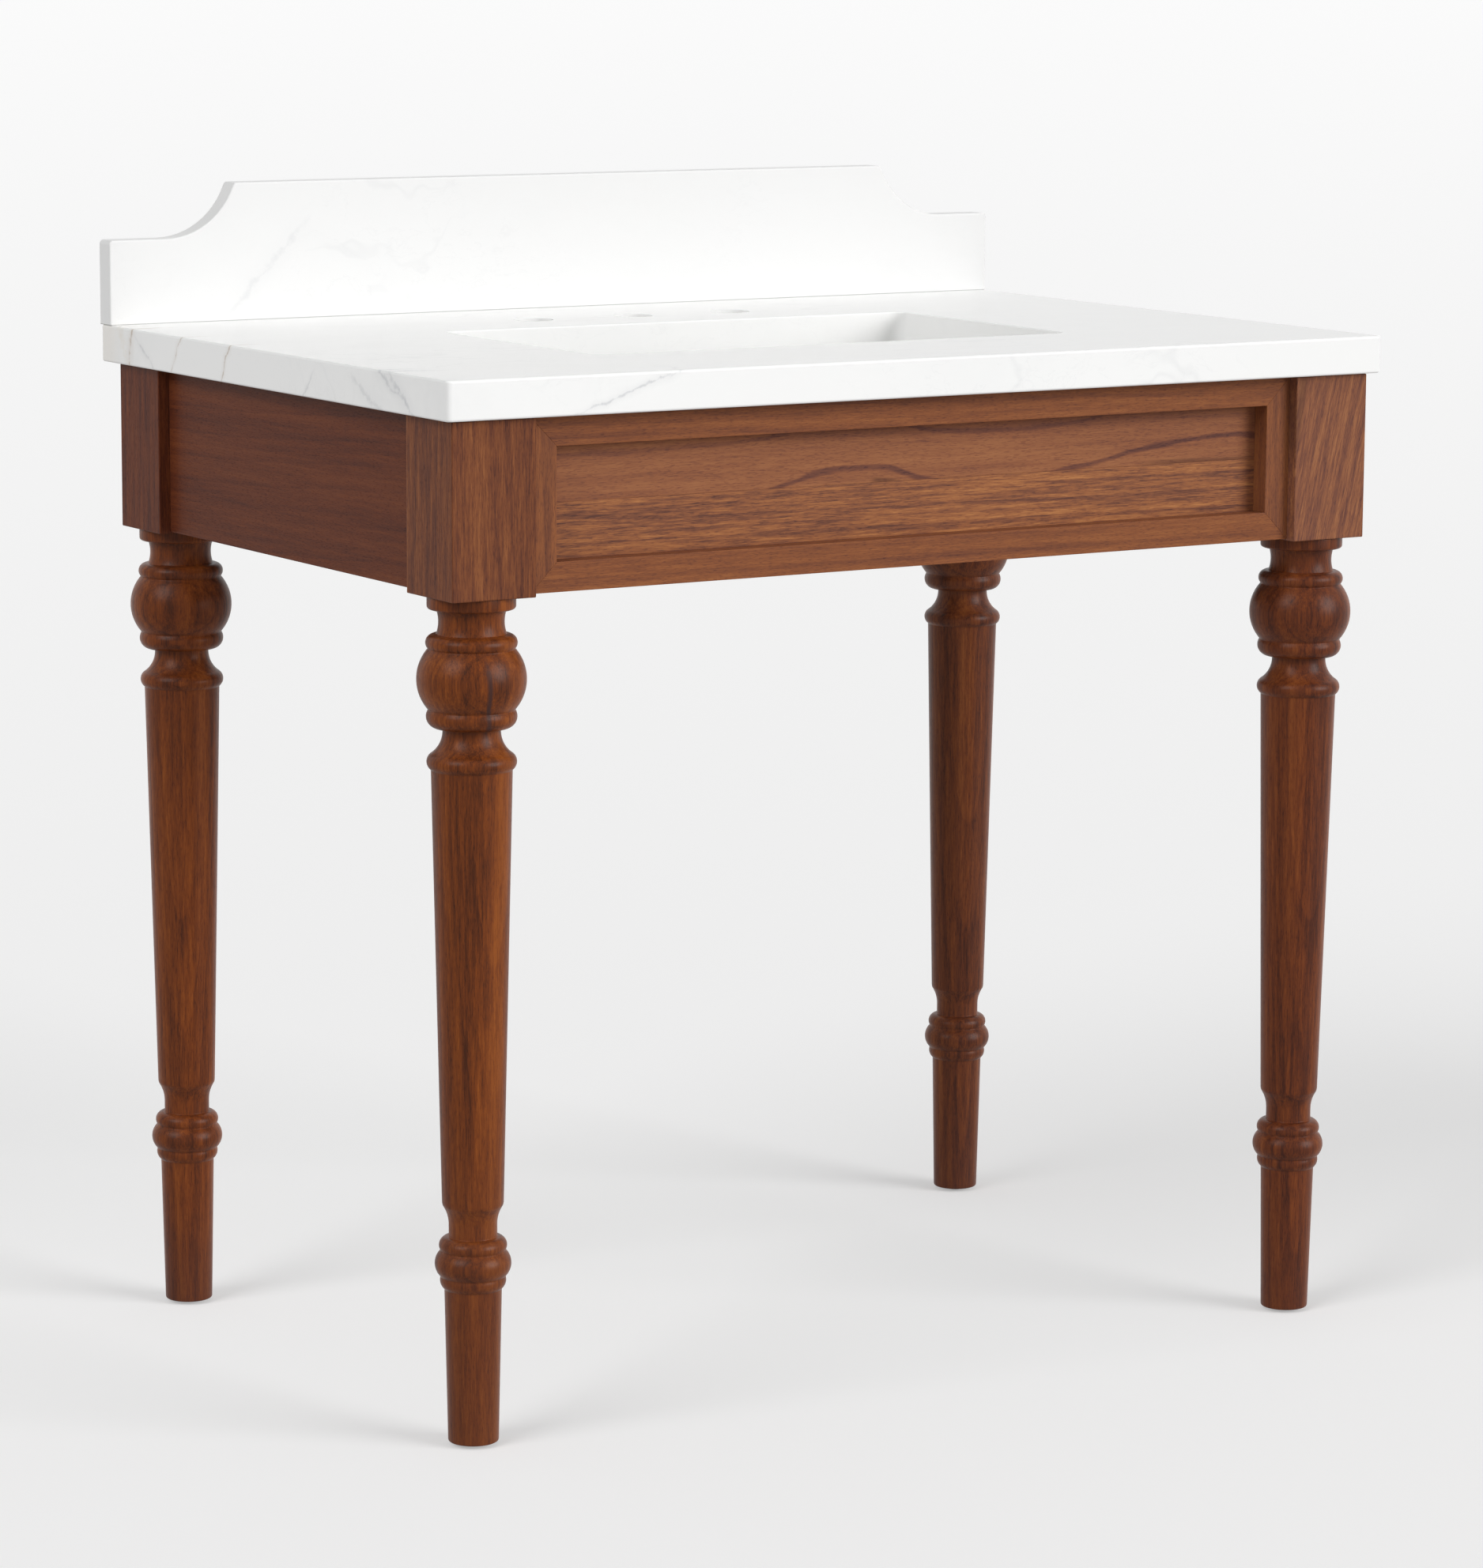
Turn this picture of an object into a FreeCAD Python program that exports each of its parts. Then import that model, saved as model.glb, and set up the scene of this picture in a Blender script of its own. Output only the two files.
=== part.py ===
"""Console vanity: a marble top with a shaped backsplash and an undermount basin,
carried by a walnut frame on four turned legs with screw levellers.

The origin is on the floor under the middle of the top. X runs along the front,
the front faces -Y and Z points up. All sizes are millimetres.
"""

import FreeCAD
import Part

import math
import os

import Sketcher

SIZES = {
    # Marble top
    "slab_width": 914.0,
    "slab_depth": 622.0,
    "slab_thick": 32.0,
    "slab_corner_round": 5.0,
    "slab_ease": 2.0,
    # Backsplash
    "splash_height": 120.0,
    "splash_thick": 20.0,
    "shoulder_height": 73.0,
    "shoulder_flat": 54.0,
    "scoop_round": 70.0,
    "crown_corner_round": 4.0,
    "splash_ease": 1.5,
    # Cut-out and tap holes
    "cutout_width": 470.0,
    "cutout_front_gap": 153.0,
    "cutout_back_gap": 209.0,
    "cutout_round": 12.0,
    "cutout_ease": 1.2,
    "faucet_bore_radius": 17.5,
    "faucet_pitch": 101.6,
    "faucet_setback": 76.0,
    # Basin
    "basin_reveal": 3.0,
    "basin_wall": 9.0,
    "basin_flange": 22.0,
    "basin_flange_thick": 12.0,
    "basin_height": 138.0,
    "basin_floor_thick": 10.0,
    "basin_corner_round": 30.0,
    "basin_floor_round": 20.0,
    "drain_bore_radius": 22.5,
    "drain_recess_radius": 33.0,
    "drain_recess_depth": 2.5,
    "overflow_width": 32.0,
    "overflow_height": 8.0,
    "overflow_depth": 5.0,
    "overflow_end_round": 3.8,
    "overflow_drop": 28.0,
    "gasket_inset": 3.0,
    # Clips that hold the basin flange under the slab
    "clip_width": 16.0,
    "clip_plate": 2.5,
    "clip_reach": 10.0,
    "clip_length": 36.0,
    "clip_side_place": 150.0,
    "clip_stud_gap": 13.0,
    "stud_radius": 3.0,
    "stud_anchor_depth": 12.0,
    "stud_tail": 12.0,
    "nut_radius": 6.5,
    "nut_height": 7.0,
    "nut_wing_span": 24.0,
    "nut_wing_thick": 2.0,
    "nut_wing_height": 9.0,
    "fastener_clearance": 0.1,
    # Posts and aprons
    "post_size": 75.0,
    "post_height": 141.0,
    "post_ease": 0.8,
    "overhang_side": 9.0,
    "overhang_front": 9.0,
    "overhang_back": 19.0,
    "bedding_thick": 1.0,
    "bedding_inset": 2.0,
    "bedding_width": 42.0,
    "apron_recess": 10.0,
    "apron_lift": 1.5,
    "apron_thick": 22.0,
    # Front frame and its two-board panel
    "front_frame_thick": 30.0,
    "front_member_width": 24.0,
    "panel_recess": 17.0,
    "panel_thick": 9.0,
    "groove_depth": 7.0,
    "groove_clearance": 0.2,
    # Dowels, glue blocks, cleats and screws
    "dowel_radius": 4.0,
    "dowel_length": 38.0,
    "dowel_in_rail": 15.0,
    "glue_block_side": 22.0,
    "glue_block_margin": 8.0,
    "cleat_width": 18.0,
    "cleat_height": 20.0,
    "screw_radius": 2.0,
    "screw_length": 32.0,
    "screw_head_radius": 4.0,
    "screw_head_height": 2.4,
    "screw_end_gap": 40.0,
    # Turned leg, from the floor end up
    "leg_length": 687.0,
    "foot_bottom_radius": 20.5,
    "foot_top_radius": 23.1,
    "foot_height": 126.6,
    "foot_round": 1.5,
    "ankle_bead_height": 10.2,
    "ankle_bead_swell": 1.8,
    "ring_height": 21.3,
    "ring_edge_radius": 26.0,
    "ring_swell": 4.8,
    "ankle_band_height": 11.4,
    "ankle_band_radius": 20.5,
    "ankle_band_swell": 3.8,
    "ankle_height": 9.5,
    "ankle_radius": 19.5,
    "ankle_cove_height": 16.3,
    "ankle_cove_radius": 24.3,
    "ankle_cove_dip": 1.3,
    "shaft_step": 2.2,
    "shaft_end_radius": 24.8,
    "shaft_top_radius": 32.4,
    "neck_bead_height": 13.3,
    "neck_bead_radius": 31.7,
    "neck_bead_swell": 3.8,
    "ogee_height": 20.4,
    "ogee_dip": 2.9,
    "waist_radius": 23.3,
    "lower_bead_height": 14.3,
    "lower_bead_radius": 29.9,
    "lower_bead_swell": 3.7,
    "ball_height": 48.5,
    "ball_edge_radius": 34.5,
    "ball_swell": 9.2,
    "upper_bead_height": 11.5,
    "upper_bead_radius": 29.9,
    "upper_bead_swell": 4.1,
    "neck_height": 20.0,
    "neck_radius": 28.0,
    "neck_dip": 1.8,
    "collar_height": 10.5,
    "collar_radius": 35.3,
    "collar_round": 2.5,
    # Hanger bolt between leg and post
    "hanger_radius": 5.0,
    "hanger_in_leg": 45.0,
    "hanger_in_post": 42.0,
    "post_insert_radius": 8.0,
    "post_insert_length": 30.0,
    "bolt_end_room": 5.0,
    # Leveller: glide, stem and the insert it screws in
    "glide_shown": 3.0,
    "glide_radius": 8.5,
    "glide_height": 9.0,
    "glide_round": 0.8,
    "glide_floor": 3.0,
    "glide_side_room": 0.5,
    "glide_top_room": 0.5,
    "pivot_radius": 3.0,
    "pivot_seat_gap": 0.3,
    "stem_radius": 4.0,
    "stem_length": 34.0,
    "stem_chamfer": 0.6,
    "stem_running_gap": 0.06,
    "leveller_insert_radius": 6.0,
    "leveller_insert_length": 20.0,
    "stem_bore_room": 0.6,
    "stem_top_room": 4.0,
    # Overrun of every cut past the face it starts from
    "overrun": 1.0,
}

BASIN_TAPER_DEGREES = 4.0
MATCH_TOLERANCE = 0.01
PANEL_SEAM_SHARE = 0.49
DOWEL_HEIGHT_SHARES = (0.25, 0.75)
QUARTER_SWELL_SHARE = 1 - math.sqrt(1 / 2)
SIDES = {"left": -1, "right": 1}
ENDS = {"front": -1, "back": 1}

DOC = FreeCAD.newDocument("console_vanity")
NODES = []


class Size:
    """A length with the sheet expression that gives it, so sums stay bound."""

    def __init__(self, value, text):
        self.value = float(value)
        self.text = text

    @staticmethod
    def of(item):
        if isinstance(item, Size):
            return item
        return Size(item, repr(float(item)))

    def join(self, other, sign, result):
        other = Size.of(other)
        return Size(result(self.value, other.value), f"({self.text} {sign} {other.text})")

    def __add__(self, other):
        return self.join(other, "+", lambda one, two: one + two)

    def __radd__(self, other):
        return Size.of(other) + self

    def __sub__(self, other):
        return self.join(other, "-", lambda one, two: one - two)

    def __rsub__(self, other):
        return Size.of(other) - self

    def __mul__(self, other):
        return self.join(other, "*", lambda one, two: one * two)

    def __rmul__(self, other):
        return Size.of(other) * self

    def __truediv__(self, other):
        return self.join(other, "/", lambda one, two: one / two)

    def __neg__(self):
        return Size.of(0) - self

    def root(self):
        return Size(math.sqrt(self.value), f"sqrt({self.text})")


class SizeTable:
    """The spreadsheet of driving dimensions, read as attributes."""

    def __init__(self, document, values):
        sheet = document.addObject("Spreadsheet::Sheet", "Sizes")
        for row, (name, value) in enumerate(values.items(), start=1):
            sheet.set(f"A{row}", name)
            sheet.set(f"B{row}", str(value))
            sheet.setAlias(f"B{row}", name)
            setattr(self, name, Size(value, f"Sizes.{name}"))


S = SizeTable(DOC, SIZES)
DOC.recompute()
ZERO = Size.of(0)

# Levels and faces that several pieces share
LEG_TOP = S.glide_shown + S.leg_length
FRAME_TOP = LEG_TOP + S.post_height
SLAB_BOTTOM = FRAME_TOP + S.bedding_thick
DECK_HEIGHT = SLAB_BOTTOM + S.slab_thick
APRON_BOTTOM = LEG_TOP + S.apron_lift
APRON_HEIGHT = S.post_height - S.apron_lift
POST_OUTER_X = S.slab_width / 2 - S.overhang_side
POST_FRONT_Y = S.overhang_front - S.slab_depth / 2
POST_BACK_Y = S.slab_depth / 2 - S.overhang_back
POST_X = POST_OUTER_X - S.post_size / 2
POST_Y = {"front": POST_FRONT_Y + S.post_size / 2, "back": POST_BACK_Y - S.post_size / 2}
BAY_HALF_WIDTH = POST_OUTER_X - S.post_size
BAY_FRONT_Y = POST_FRONT_Y + S.post_size
BAY_DEPTH = POST_BACK_Y - S.post_size - BAY_FRONT_Y
SIDE_APRON_X = POST_OUTER_X - S.apron_recess - S.apron_thick / 2
BACK_APRON_Y = POST_BACK_Y - S.apron_recess - S.apron_thick / 2
FRONT_FACE_Y = POST_FRONT_Y + S.apron_recess
FRONT_BACK_Y = FRONT_FACE_Y + S.front_frame_thick
FRONT_FRAME_Y = FRONT_FACE_Y + S.front_frame_thick / 2
CUTOUT_FRONT_Y = S.cutout_front_gap - S.slab_depth / 2
CUTOUT_BACK_Y = S.slab_depth / 2 - S.cutout_back_gap
CUTOUT_Y = (CUTOUT_FRONT_Y + CUTOUT_BACK_Y) / 2
FAUCET_Y = CUTOUT_BACK_Y + S.faucet_setback
BASIN_MOUTH_X = S.cutout_width / 2 + S.basin_reveal
BASIN_MOUTH_Y = (CUTOUT_BACK_Y - CUTOUT_FRONT_Y) / 2 + S.basin_reveal
FLANGE_X = BASIN_MOUTH_X + S.basin_flange
FLANGE_Y = BASIN_MOUTH_Y + S.basin_flange
STUD_BOTTOM = FRAME_TOP - S.basin_flange_thick - S.clip_plate - S.stud_tail
STUD_TOP = SLAB_BOTTOM + S.stud_anchor_depth
DOWEL_IN_POST = S.dowel_length - S.dowel_in_rail
DOWEL_BORE_RADIUS = S.dowel_radius + S.fastener_clearance
CLEAT_SCREW_Z = FRAME_TOP - S.cleat_height / 2
INSERT_BOTTOM = S.glide_height + S.glide_top_room
STEM_SHOULDER = S.glide_height + S.pivot_seat_gap

TURNS = {
    "+X": FreeCAD.Rotation(FreeCAD.Vector(0, 1, 0), 90),
    "-X": FreeCAD.Rotation(FreeCAD.Vector(0, 1, 0), -90),
    "+Y": FreeCAD.Rotation(FreeCAD.Vector(1, 0, 0), -90),
    "-Y": FreeCAD.Rotation(FreeCAD.Vector(1, 0, 0), 90),
    "+Z": FreeCAD.Rotation(),
    "-Z": FreeCAD.Rotation(FreeCAD.Vector(1, 0, 0), 180),
}


def bind(item, sizes):
    """Tie each named property of an object to the expression of its size."""
    for path, size in sizes.items():
        item.setExpression(path, Size.of(size).text)


def place(item, point, turn=None):
    """Turn an object and tie its Placement to a point given in sizes."""
    if turn is not None:
        item.Placement = FreeCAD.Placement(FreeCAD.Vector(), turn)
    bind(item, {f"Placement.Base.{axis}": size for axis, size in zip("xyz", point)})


def start_body(name, point=(ZERO, ZERO, ZERO), node=True):
    """A body with its label and Placement, kept as a sub-part unless it is a pattern piece."""
    body = DOC.addObject("PartDesign::Body", name)
    body.Label = name
    place(body, point)
    if node:
        NODES.append(body)
    return body


def start_sketch(body, role, name):
    """An empty sketch on one of the body's own origin planes."""
    sketch = body.newObject("Sketcher::SketchObject", f"{body.Label}_{name}")
    plane = next(item for item in body.Origin.OriginFeatures if item.Role == role)
    sketch.AttachmentSupport = [(plane, "")]
    sketch.MapMode = "FlatFace"
    return sketch


def swell_radius(start, end, swell):
    """The radius of the arc between two points whose middle stands swell off the chord."""
    across = end[0] - start[0]
    along = end[1] - start[1]
    return ((across * across + along * along) / 4 + swell * swell) / (2 * swell)


def draw_loop(sketch, corners):
    """Close a loop through corners (x, y, swell, side), each bound to its sizes.

    The stretch that arrives at a corner is straight without a swell. With one it is
    an arc that bulges to the left of its travel where side is 1, to the right where -1.
    """
    count = len(corners)
    pieces = []
    for index, (x, y, swell, side) in enumerate(corners):
        start = corners[index - 1]
        tail = FreeCAD.Vector(start[0].value, start[1].value, 0)
        head = FreeCAD.Vector(x.value, y.value, 0)
        if swell is None:
            pieces.append(sketch.addGeometry(Part.LineSegment(tail, head), False))
            continue
        across = head - tail
        normal = FreeCAD.Vector(-across.y, across.x, 0).normalize()
        middle = (tail + head) / 2 + normal * (side * swell.value)
        piece = sketch.addGeometry(Part.Arc(tail, middle, head), False)
        pieces.append(piece)
        row = sketch.addConstraint(Sketcher.Constraint("Radius", piece, sketch.Geometry[piece].Radius))
        bind(sketch, {f"Constraints[{row}]": swell_radius(start, (x, y), swell)})

    def end_at(piece, point):
        first = sketch.getPoint(piece, 1)
        second = sketch.getPoint(piece, 2)
        return 1 if first.distanceToPoint(point) < second.distanceToPoint(point) else 2

    for index, (x, y, _, _) in enumerate(corners):
        point = FreeCAD.Vector(x.value, y.value, 0)
        arriving = pieces[index]
        leaving = pieces[(index + 1) % count]
        ends = (arriving, end_at(arriving, point), leaving, end_at(leaving, point))
        sketch.addConstraint(Sketcher.Constraint("Coincident", *ends))
        for kind, size in (("DistanceX", x), ("DistanceY", y)):
            value = Sketcher.Constraint(kind, -1, 1, leaving, ends[3], size.value)
            row = sketch.addConstraint(value)
            bind(sketch, {f"Constraints[{row}]": size})


def draw_rounded_rectangle(sketch, half_width, half_depth, corner_round):
    """A rectangle about the sketch's origin with quarter-round corners."""
    swell = corner_round * QUARTER_SWELL_SHARE
    flat_x = half_width - corner_round
    flat_y = half_depth - corner_round
    corners = []
    for side_x, side_y in ((1, -1), (1, 1), (-1, 1), (-1, -1)):
        before = (side_x * flat_x, side_y * half_depth)
        after = (side_x * half_width, side_y * flat_y)
        if side_x == side_y:
            before, after = after, before
        corners.append((*before, None, 0))
        corners.append((*after, swell, -1))
    draw_loop(sketch, corners)


def pad(body, sketch, length, reverse=False, taper=None):
    feature = body.newObject("PartDesign::Pad", f"{sketch.Label}_pad")
    feature.Profile = sketch
    feature.Reversed = reverse
    bind(feature, {"Length": length})
    if taper is not None:
        feature.TaperAngle = taper
    return feature


def block(body, name, low, high, cut=False):
    """Add or cut a box between two corners given in sizes."""
    kind = "SubtractiveBox" if cut else "AdditiveBox"
    feature = body.newObject(f"PartDesign::{kind}", f"{body.Label}_{name}")
    spans = [top - bottom for bottom, top in zip(low, high)]
    bind(feature, dict(zip(("Length", "Width", "Height"), spans)))
    place(feature, low)
    return feature


def rod(body, name, point, direction, radius, length, cut=False):
    """Add or cut a cylinder that starts at a point and runs along a row axis."""
    kind = "SubtractiveCylinder" if cut else "AdditiveCylinder"
    feature = body.newObject(f"PartDesign::{kind}", f"{body.Label}_{name}")
    bind(feature, {"Radius": radius, "Height": length})
    place(feature, point, TURNS[direction])
    return feature


def bore(body, name, mouth, direction, radius, depth):
    """Drill from a mouth on a face into the wood or stone, with the shared overrun."""
    axis = "XYZ".index(direction[1])
    back = S.overrun if direction[0] == "+" else -S.overrun
    start = [size - back if index == axis else size for index, size in enumerate(mouth)]
    return rod(body, name, start, direction, radius, depth + S.overrun, cut=True)


def edges_where(feature, test):
    """Names of the feature's edges whose bounds pass a test."""
    names = []
    for number, edge in enumerate(feature.Shape.Edges, start=1):
        if test(edge.BoundBox, edge):
            names.append(f"Edge{number}")
    return names


def dress(body, kind, name, size, test):
    """A fillet or chamfer on the edges of the body's tip that pass a test."""
    DOC.recompute()
    base = body.Tip
    feature = body.newObject(f"PartDesign::{kind}", f"{body.Label}_{name}")
    feature.Base = (base, edges_where(base, test))
    bind(feature, {"Radius" if kind == "Fillet" else "Size": size})
    return feature


def near(one, two):
    """True where a measured place agrees with a size."""
    return abs(one - Size.of(two).value) < MATCH_TOLERANCE


def upright(box):
    """True for an edge that runs along Z."""
    return box.ZLength > box.XLength + box.YLength


def level(box, height):
    """True for an edge that lies flat at a height."""
    return near(box.ZMin, height) and near(box.ZMax, height)


def group(name, pattern, places):
    """Identical separate solids in one node: copies of a pattern at its places."""
    DOC.recompute()
    node = DOC.addObject("Part::Feature", name)
    node.Label = name
    copies = []
    for point, turn in places:
        copy = pattern.Shape.copy()
        target = FreeCAD.Vector(*(size.value for size in point))
        copy.Placement = FreeCAD.Placement(target, turn).multiply(copy.Placement)
        copies.append(copy)
    node.Shape = Part.makeCompound(copies)
    node.Placement = FreeCAD.Placement()
    NODES.append(node)


def corner_places():
    """The four corners as (name, side, end, x, y) of post and leg axes."""
    for end, way_y in ENDS.items():
        for side, way_x in SIDES.items():
            yield f"{end}_{side}", way_x, way_y, way_x * POST_X, POST_Y[end]


def clip_places():
    """The clips' studs as (x, y, turn), the turn taking local -Y to the basin's side."""
    gap = S.clip_stud_gap
    for way in ENDS.values():
        for side in SIDES.values():
            turn = FreeCAD.Rotation(FreeCAD.Vector(0, 0, 1), 90 - 90 * way)
            yield side * S.clip_side_place, CUTOUT_Y + way * (FLANGE_Y + gap), turn
    for side in SIDES.values():
        turn = FreeCAD.Rotation(FreeCAD.Vector(0, 0, 1), -90 * side)
        yield side * (FLANGE_X + gap), CUTOUT_Y, turn


def make_marble_top():
    """A slab with eased edges, the basin's cut-out, three tap holes and the clips' anchor holes."""
    body = start_body("marble_top", (ZERO, ZERO, SLAB_BOTTOM))
    half_x = S.slab_width / 2
    half_y = S.slab_depth / 2
    top = S.slab_thick
    block(body, "slab", (-half_x, -half_y, ZERO), (half_x, half_y, top))
    dress(body, "Fillet", "corners", S.slab_corner_round, lambda box, edge: upright(box))
    cut_x = S.cutout_width / 2
    low = (-cut_x, CUTOUT_FRONT_Y, -S.overrun)
    high = (cut_x, CUTOUT_BACK_Y, top + S.overrun)
    block(body, "cutout", low, high, cut=True)
    inside = cut_x.value + S.overrun.value

    def cutout_corner(box, edge):
        return upright(box) and abs(box.XMin) < inside

    dress(body, "Fillet", "cutout_corners", S.cutout_round, cutout_corner)

    def cutout_rim(box, edge):
        return level(box, top) and max(-box.XMin, box.XMax) < inside

    dress(body, "Fillet", "cutout_rim", S.cutout_ease, cutout_rim)

    def outer_rim(box, edge):
        flat = level(box, top) or level(box, ZERO)
        return flat and max(-box.XMin, box.XMax) > inside

    dress(body, "Fillet", "outer_rim", S.slab_ease, outer_rim)
    for place_number in (-1, 0, 1):
        mouth = (place_number * S.faucet_pitch, FAUCET_Y, ZERO)
        depth = top + S.overrun
        bore(body, f"tap_hole_{place_number + 2}", mouth, "+Z", S.faucet_bore_radius, depth)
    anchor_radius = S.stud_radius + S.fastener_clearance
    for number, (x, y, _) in enumerate(clip_places(), start=1):
        bore(body, f"anchor_hole_{number}", (x, y, ZERO), "+Z", anchor_radius, S.stud_anchor_depth)


def make_backsplash():
    """An upright slab whose raised middle falls to low shoulders in two concave scoops."""
    body = start_body("marble_backsplash", (ZERO, S.slab_depth / 2, DECK_HEIGHT))
    rise = S.splash_height - S.shoulder_height
    scoop_width = (rise * (2 * S.scoop_round - rise)).root()
    half = S.slab_width / 2
    scoop_foot = half - S.shoulder_flat
    crown_half = scoop_foot - scoop_width
    chord = (rise * rise + scoop_width * scoop_width).root()
    scoop_dip = S.scoop_round - (S.scoop_round * S.scoop_round - chord * chord / 4).root()
    sketch = start_sketch(body, "XZ_Plane", "outline")
    draw_loop(sketch, [
        (-half, ZERO, None, 0),
        (half, ZERO, None, 0),
        (half, S.shoulder_height, None, 0),
        (scoop_foot, S.shoulder_height, None, 0),
        (crown_half, S.splash_height, scoop_dip, 1),
        (-crown_half, S.splash_height, None, 0),
        (-scoop_foot, S.shoulder_height, scoop_dip, 1),
        (-half, S.shoulder_height, None, 0),
    ])
    pad(body, sketch, S.splash_thick)

    def crown_corner(box, edge):
        across = near(box.XLength, ZERO) and near(box.ZLength, ZERO)
        high = near(box.ZMin, S.splash_height)
        end = near(box.ZMin, S.shoulder_height) and near(abs(box.XMin), half)
        return across and (high or end)

    dress(body, "Fillet", "crown_corners", S.crown_corner_round, crown_corner)

    def front_rim(box, edge):
        front = near(box.YMin, -S.splash_thick) and near(box.YLength, ZERO)
        return front and box.ZMax > S.overrun.value

    dress(body, "Fillet", "front_rim", S.splash_ease, front_rim)


def make_basin():
    """A ceramic bowl with a flange, tapered walls, rounded floor, drain bore and overflow."""
    body = start_body("sink_basin", (ZERO, CUTOUT_Y, FRAME_TOP))
    flange = start_sketch(body, "XY_Plane", "flange")
    flange_round = S.basin_corner_round + S.basin_flange
    draw_rounded_rectangle(flange, FLANGE_X, FLANGE_Y, flange_round)
    pad(body, flange, S.basin_flange_thick, reverse=True)
    shell = start_sketch(body, "XY_Plane", "shell")
    shell_x = BASIN_MOUTH_X + S.basin_wall
    shell_y = BASIN_MOUTH_Y + S.basin_wall
    draw_rounded_rectangle(shell, shell_x, shell_y, S.basin_corner_round + S.basin_wall)
    pad(body, shell, S.basin_height, reverse=True, taper=-BASIN_TAPER_DEGREES)
    bottom = -S.basin_height

    def shell_floor(box, edge):
        return level(box, bottom)

    dress(body, "Fillet", "shell_floor", S.basin_floor_round + S.basin_wall, shell_floor)
    mouth = start_sketch(body, "XY_Plane", "mouth")
    draw_rounded_rectangle(mouth, BASIN_MOUTH_X, BASIN_MOUTH_Y, S.basin_corner_round)
    bowl = body.newObject("PartDesign::Pocket", "sink_basin_bowl")
    bowl.Profile = mouth
    bowl.TaperAngle = -BASIN_TAPER_DEGREES
    bowl_depth = S.basin_height - S.basin_floor_thick
    bind(bowl, {"Length": bowl_depth})

    def bowl_floor(box, edge):
        return level(box, -bowl_depth)

    dress(body, "Fillet", "bowl_floor", S.basin_floor_round, bowl_floor)
    floor = (ZERO, ZERO, -bowl_depth)
    bore(body, "drain_recess", floor, "-Z", S.drain_recess_radius, S.drain_recess_depth)
    bore(body, "drain_bore", floor, "-Z", S.drain_bore_radius, S.basin_floor_thick + S.overrun)
    slot_top = -S.overflow_drop
    slot_back = -BASIN_MOUTH_Y - S.overflow_depth
    low = (-S.overflow_width / 2, slot_back, slot_top - S.overflow_height)
    high = (S.overflow_width / 2, slot_back + 2 * S.overflow_depth, slot_top)
    block(body, "overflow", low, high, cut=True)
    slot_ends = S.overflow_width / 2

    def slot_end(box, edge):
        along = box.YLength > box.XLength + box.ZLength
        return along and near(abs(box.XMin), slot_ends) and box.ZMax < slot_top.value + S.overrun.value

    dress(body, "Fillet", "overflow_ends", S.overflow_end_round, slot_end)


def make_gasket():
    """The thin seal between the basin's flange and the slab."""
    body = start_body("basin_gasket", (ZERO, CUTOUT_Y, FRAME_TOP))
    outer_x = FLANGE_X - S.gasket_inset
    outer_y = FLANGE_Y - S.gasket_inset
    sketch = start_sketch(body, "XY_Plane", "outline")
    outer_round = S.basin_corner_round + S.basin_flange - S.gasket_inset
    draw_rounded_rectangle(sketch, outer_x, outer_y, outer_round)
    draw_rounded_rectangle(sketch, BASIN_MOUTH_X, BASIN_MOUTH_Y, S.basin_corner_round)
    pad(body, sketch, S.bedding_thick)


def make_clips():
    """Six clips, with their anchored studs and wing nuts, that press the flange up."""
    clip = start_body("clip_pattern", node=False)
    half = S.clip_width / 2
    inner = -S.clip_stud_gap - S.clip_reach
    outer = inner + S.clip_length
    plate_top = FRAME_TOP - S.basin_flange_thick
    plate_bottom = plate_top - S.clip_plate
    block(clip, "plate", (-half, inner, plate_bottom), (half, outer, plate_top))
    block(clip, "heel", (-half, outer - S.clip_plate, plate_bottom), (half, outer, SLAB_BOTTOM))
    hole_radius = S.stud_radius + S.fastener_clearance
    bore(clip, "hole", (ZERO, ZERO, plate_bottom), "+Z", hole_radius, S.clip_plate + S.overrun)
    stud = start_body("stud_pattern", node=False)
    rod(stud, "shank", (ZERO, ZERO, STUD_BOTTOM), "+Z", S.stud_radius, STUD_TOP - STUD_BOTTOM)
    nut = start_body("nut_pattern", node=False)
    nut_bottom = plate_bottom - S.nut_height
    rod(nut, "hub", (ZERO, ZERO, nut_bottom), "+Z", S.nut_radius, S.nut_height)
    span = S.nut_wing_span / 2
    thin = S.nut_wing_thick / 2
    wing_bottom = plate_bottom - S.nut_wing_height - S.overrun
    low = (-span, -thin, wing_bottom)
    block(nut, "wings", low, (span, thin, wing_bottom + S.nut_wing_height))
    nut_depth = S.nut_wing_height + 2 * S.overrun
    bore(nut, "thread", (ZERO, ZERO, wing_bottom), "+Z", hole_radius, nut_depth)
    places = [((x, y, ZERO), turn) for x, y, turn in clip_places()]
    group("sink_clips", clip, places)
    group("sink_clip_studs", stud, places)
    group("sink_clip_nuts", nut, places)


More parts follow.
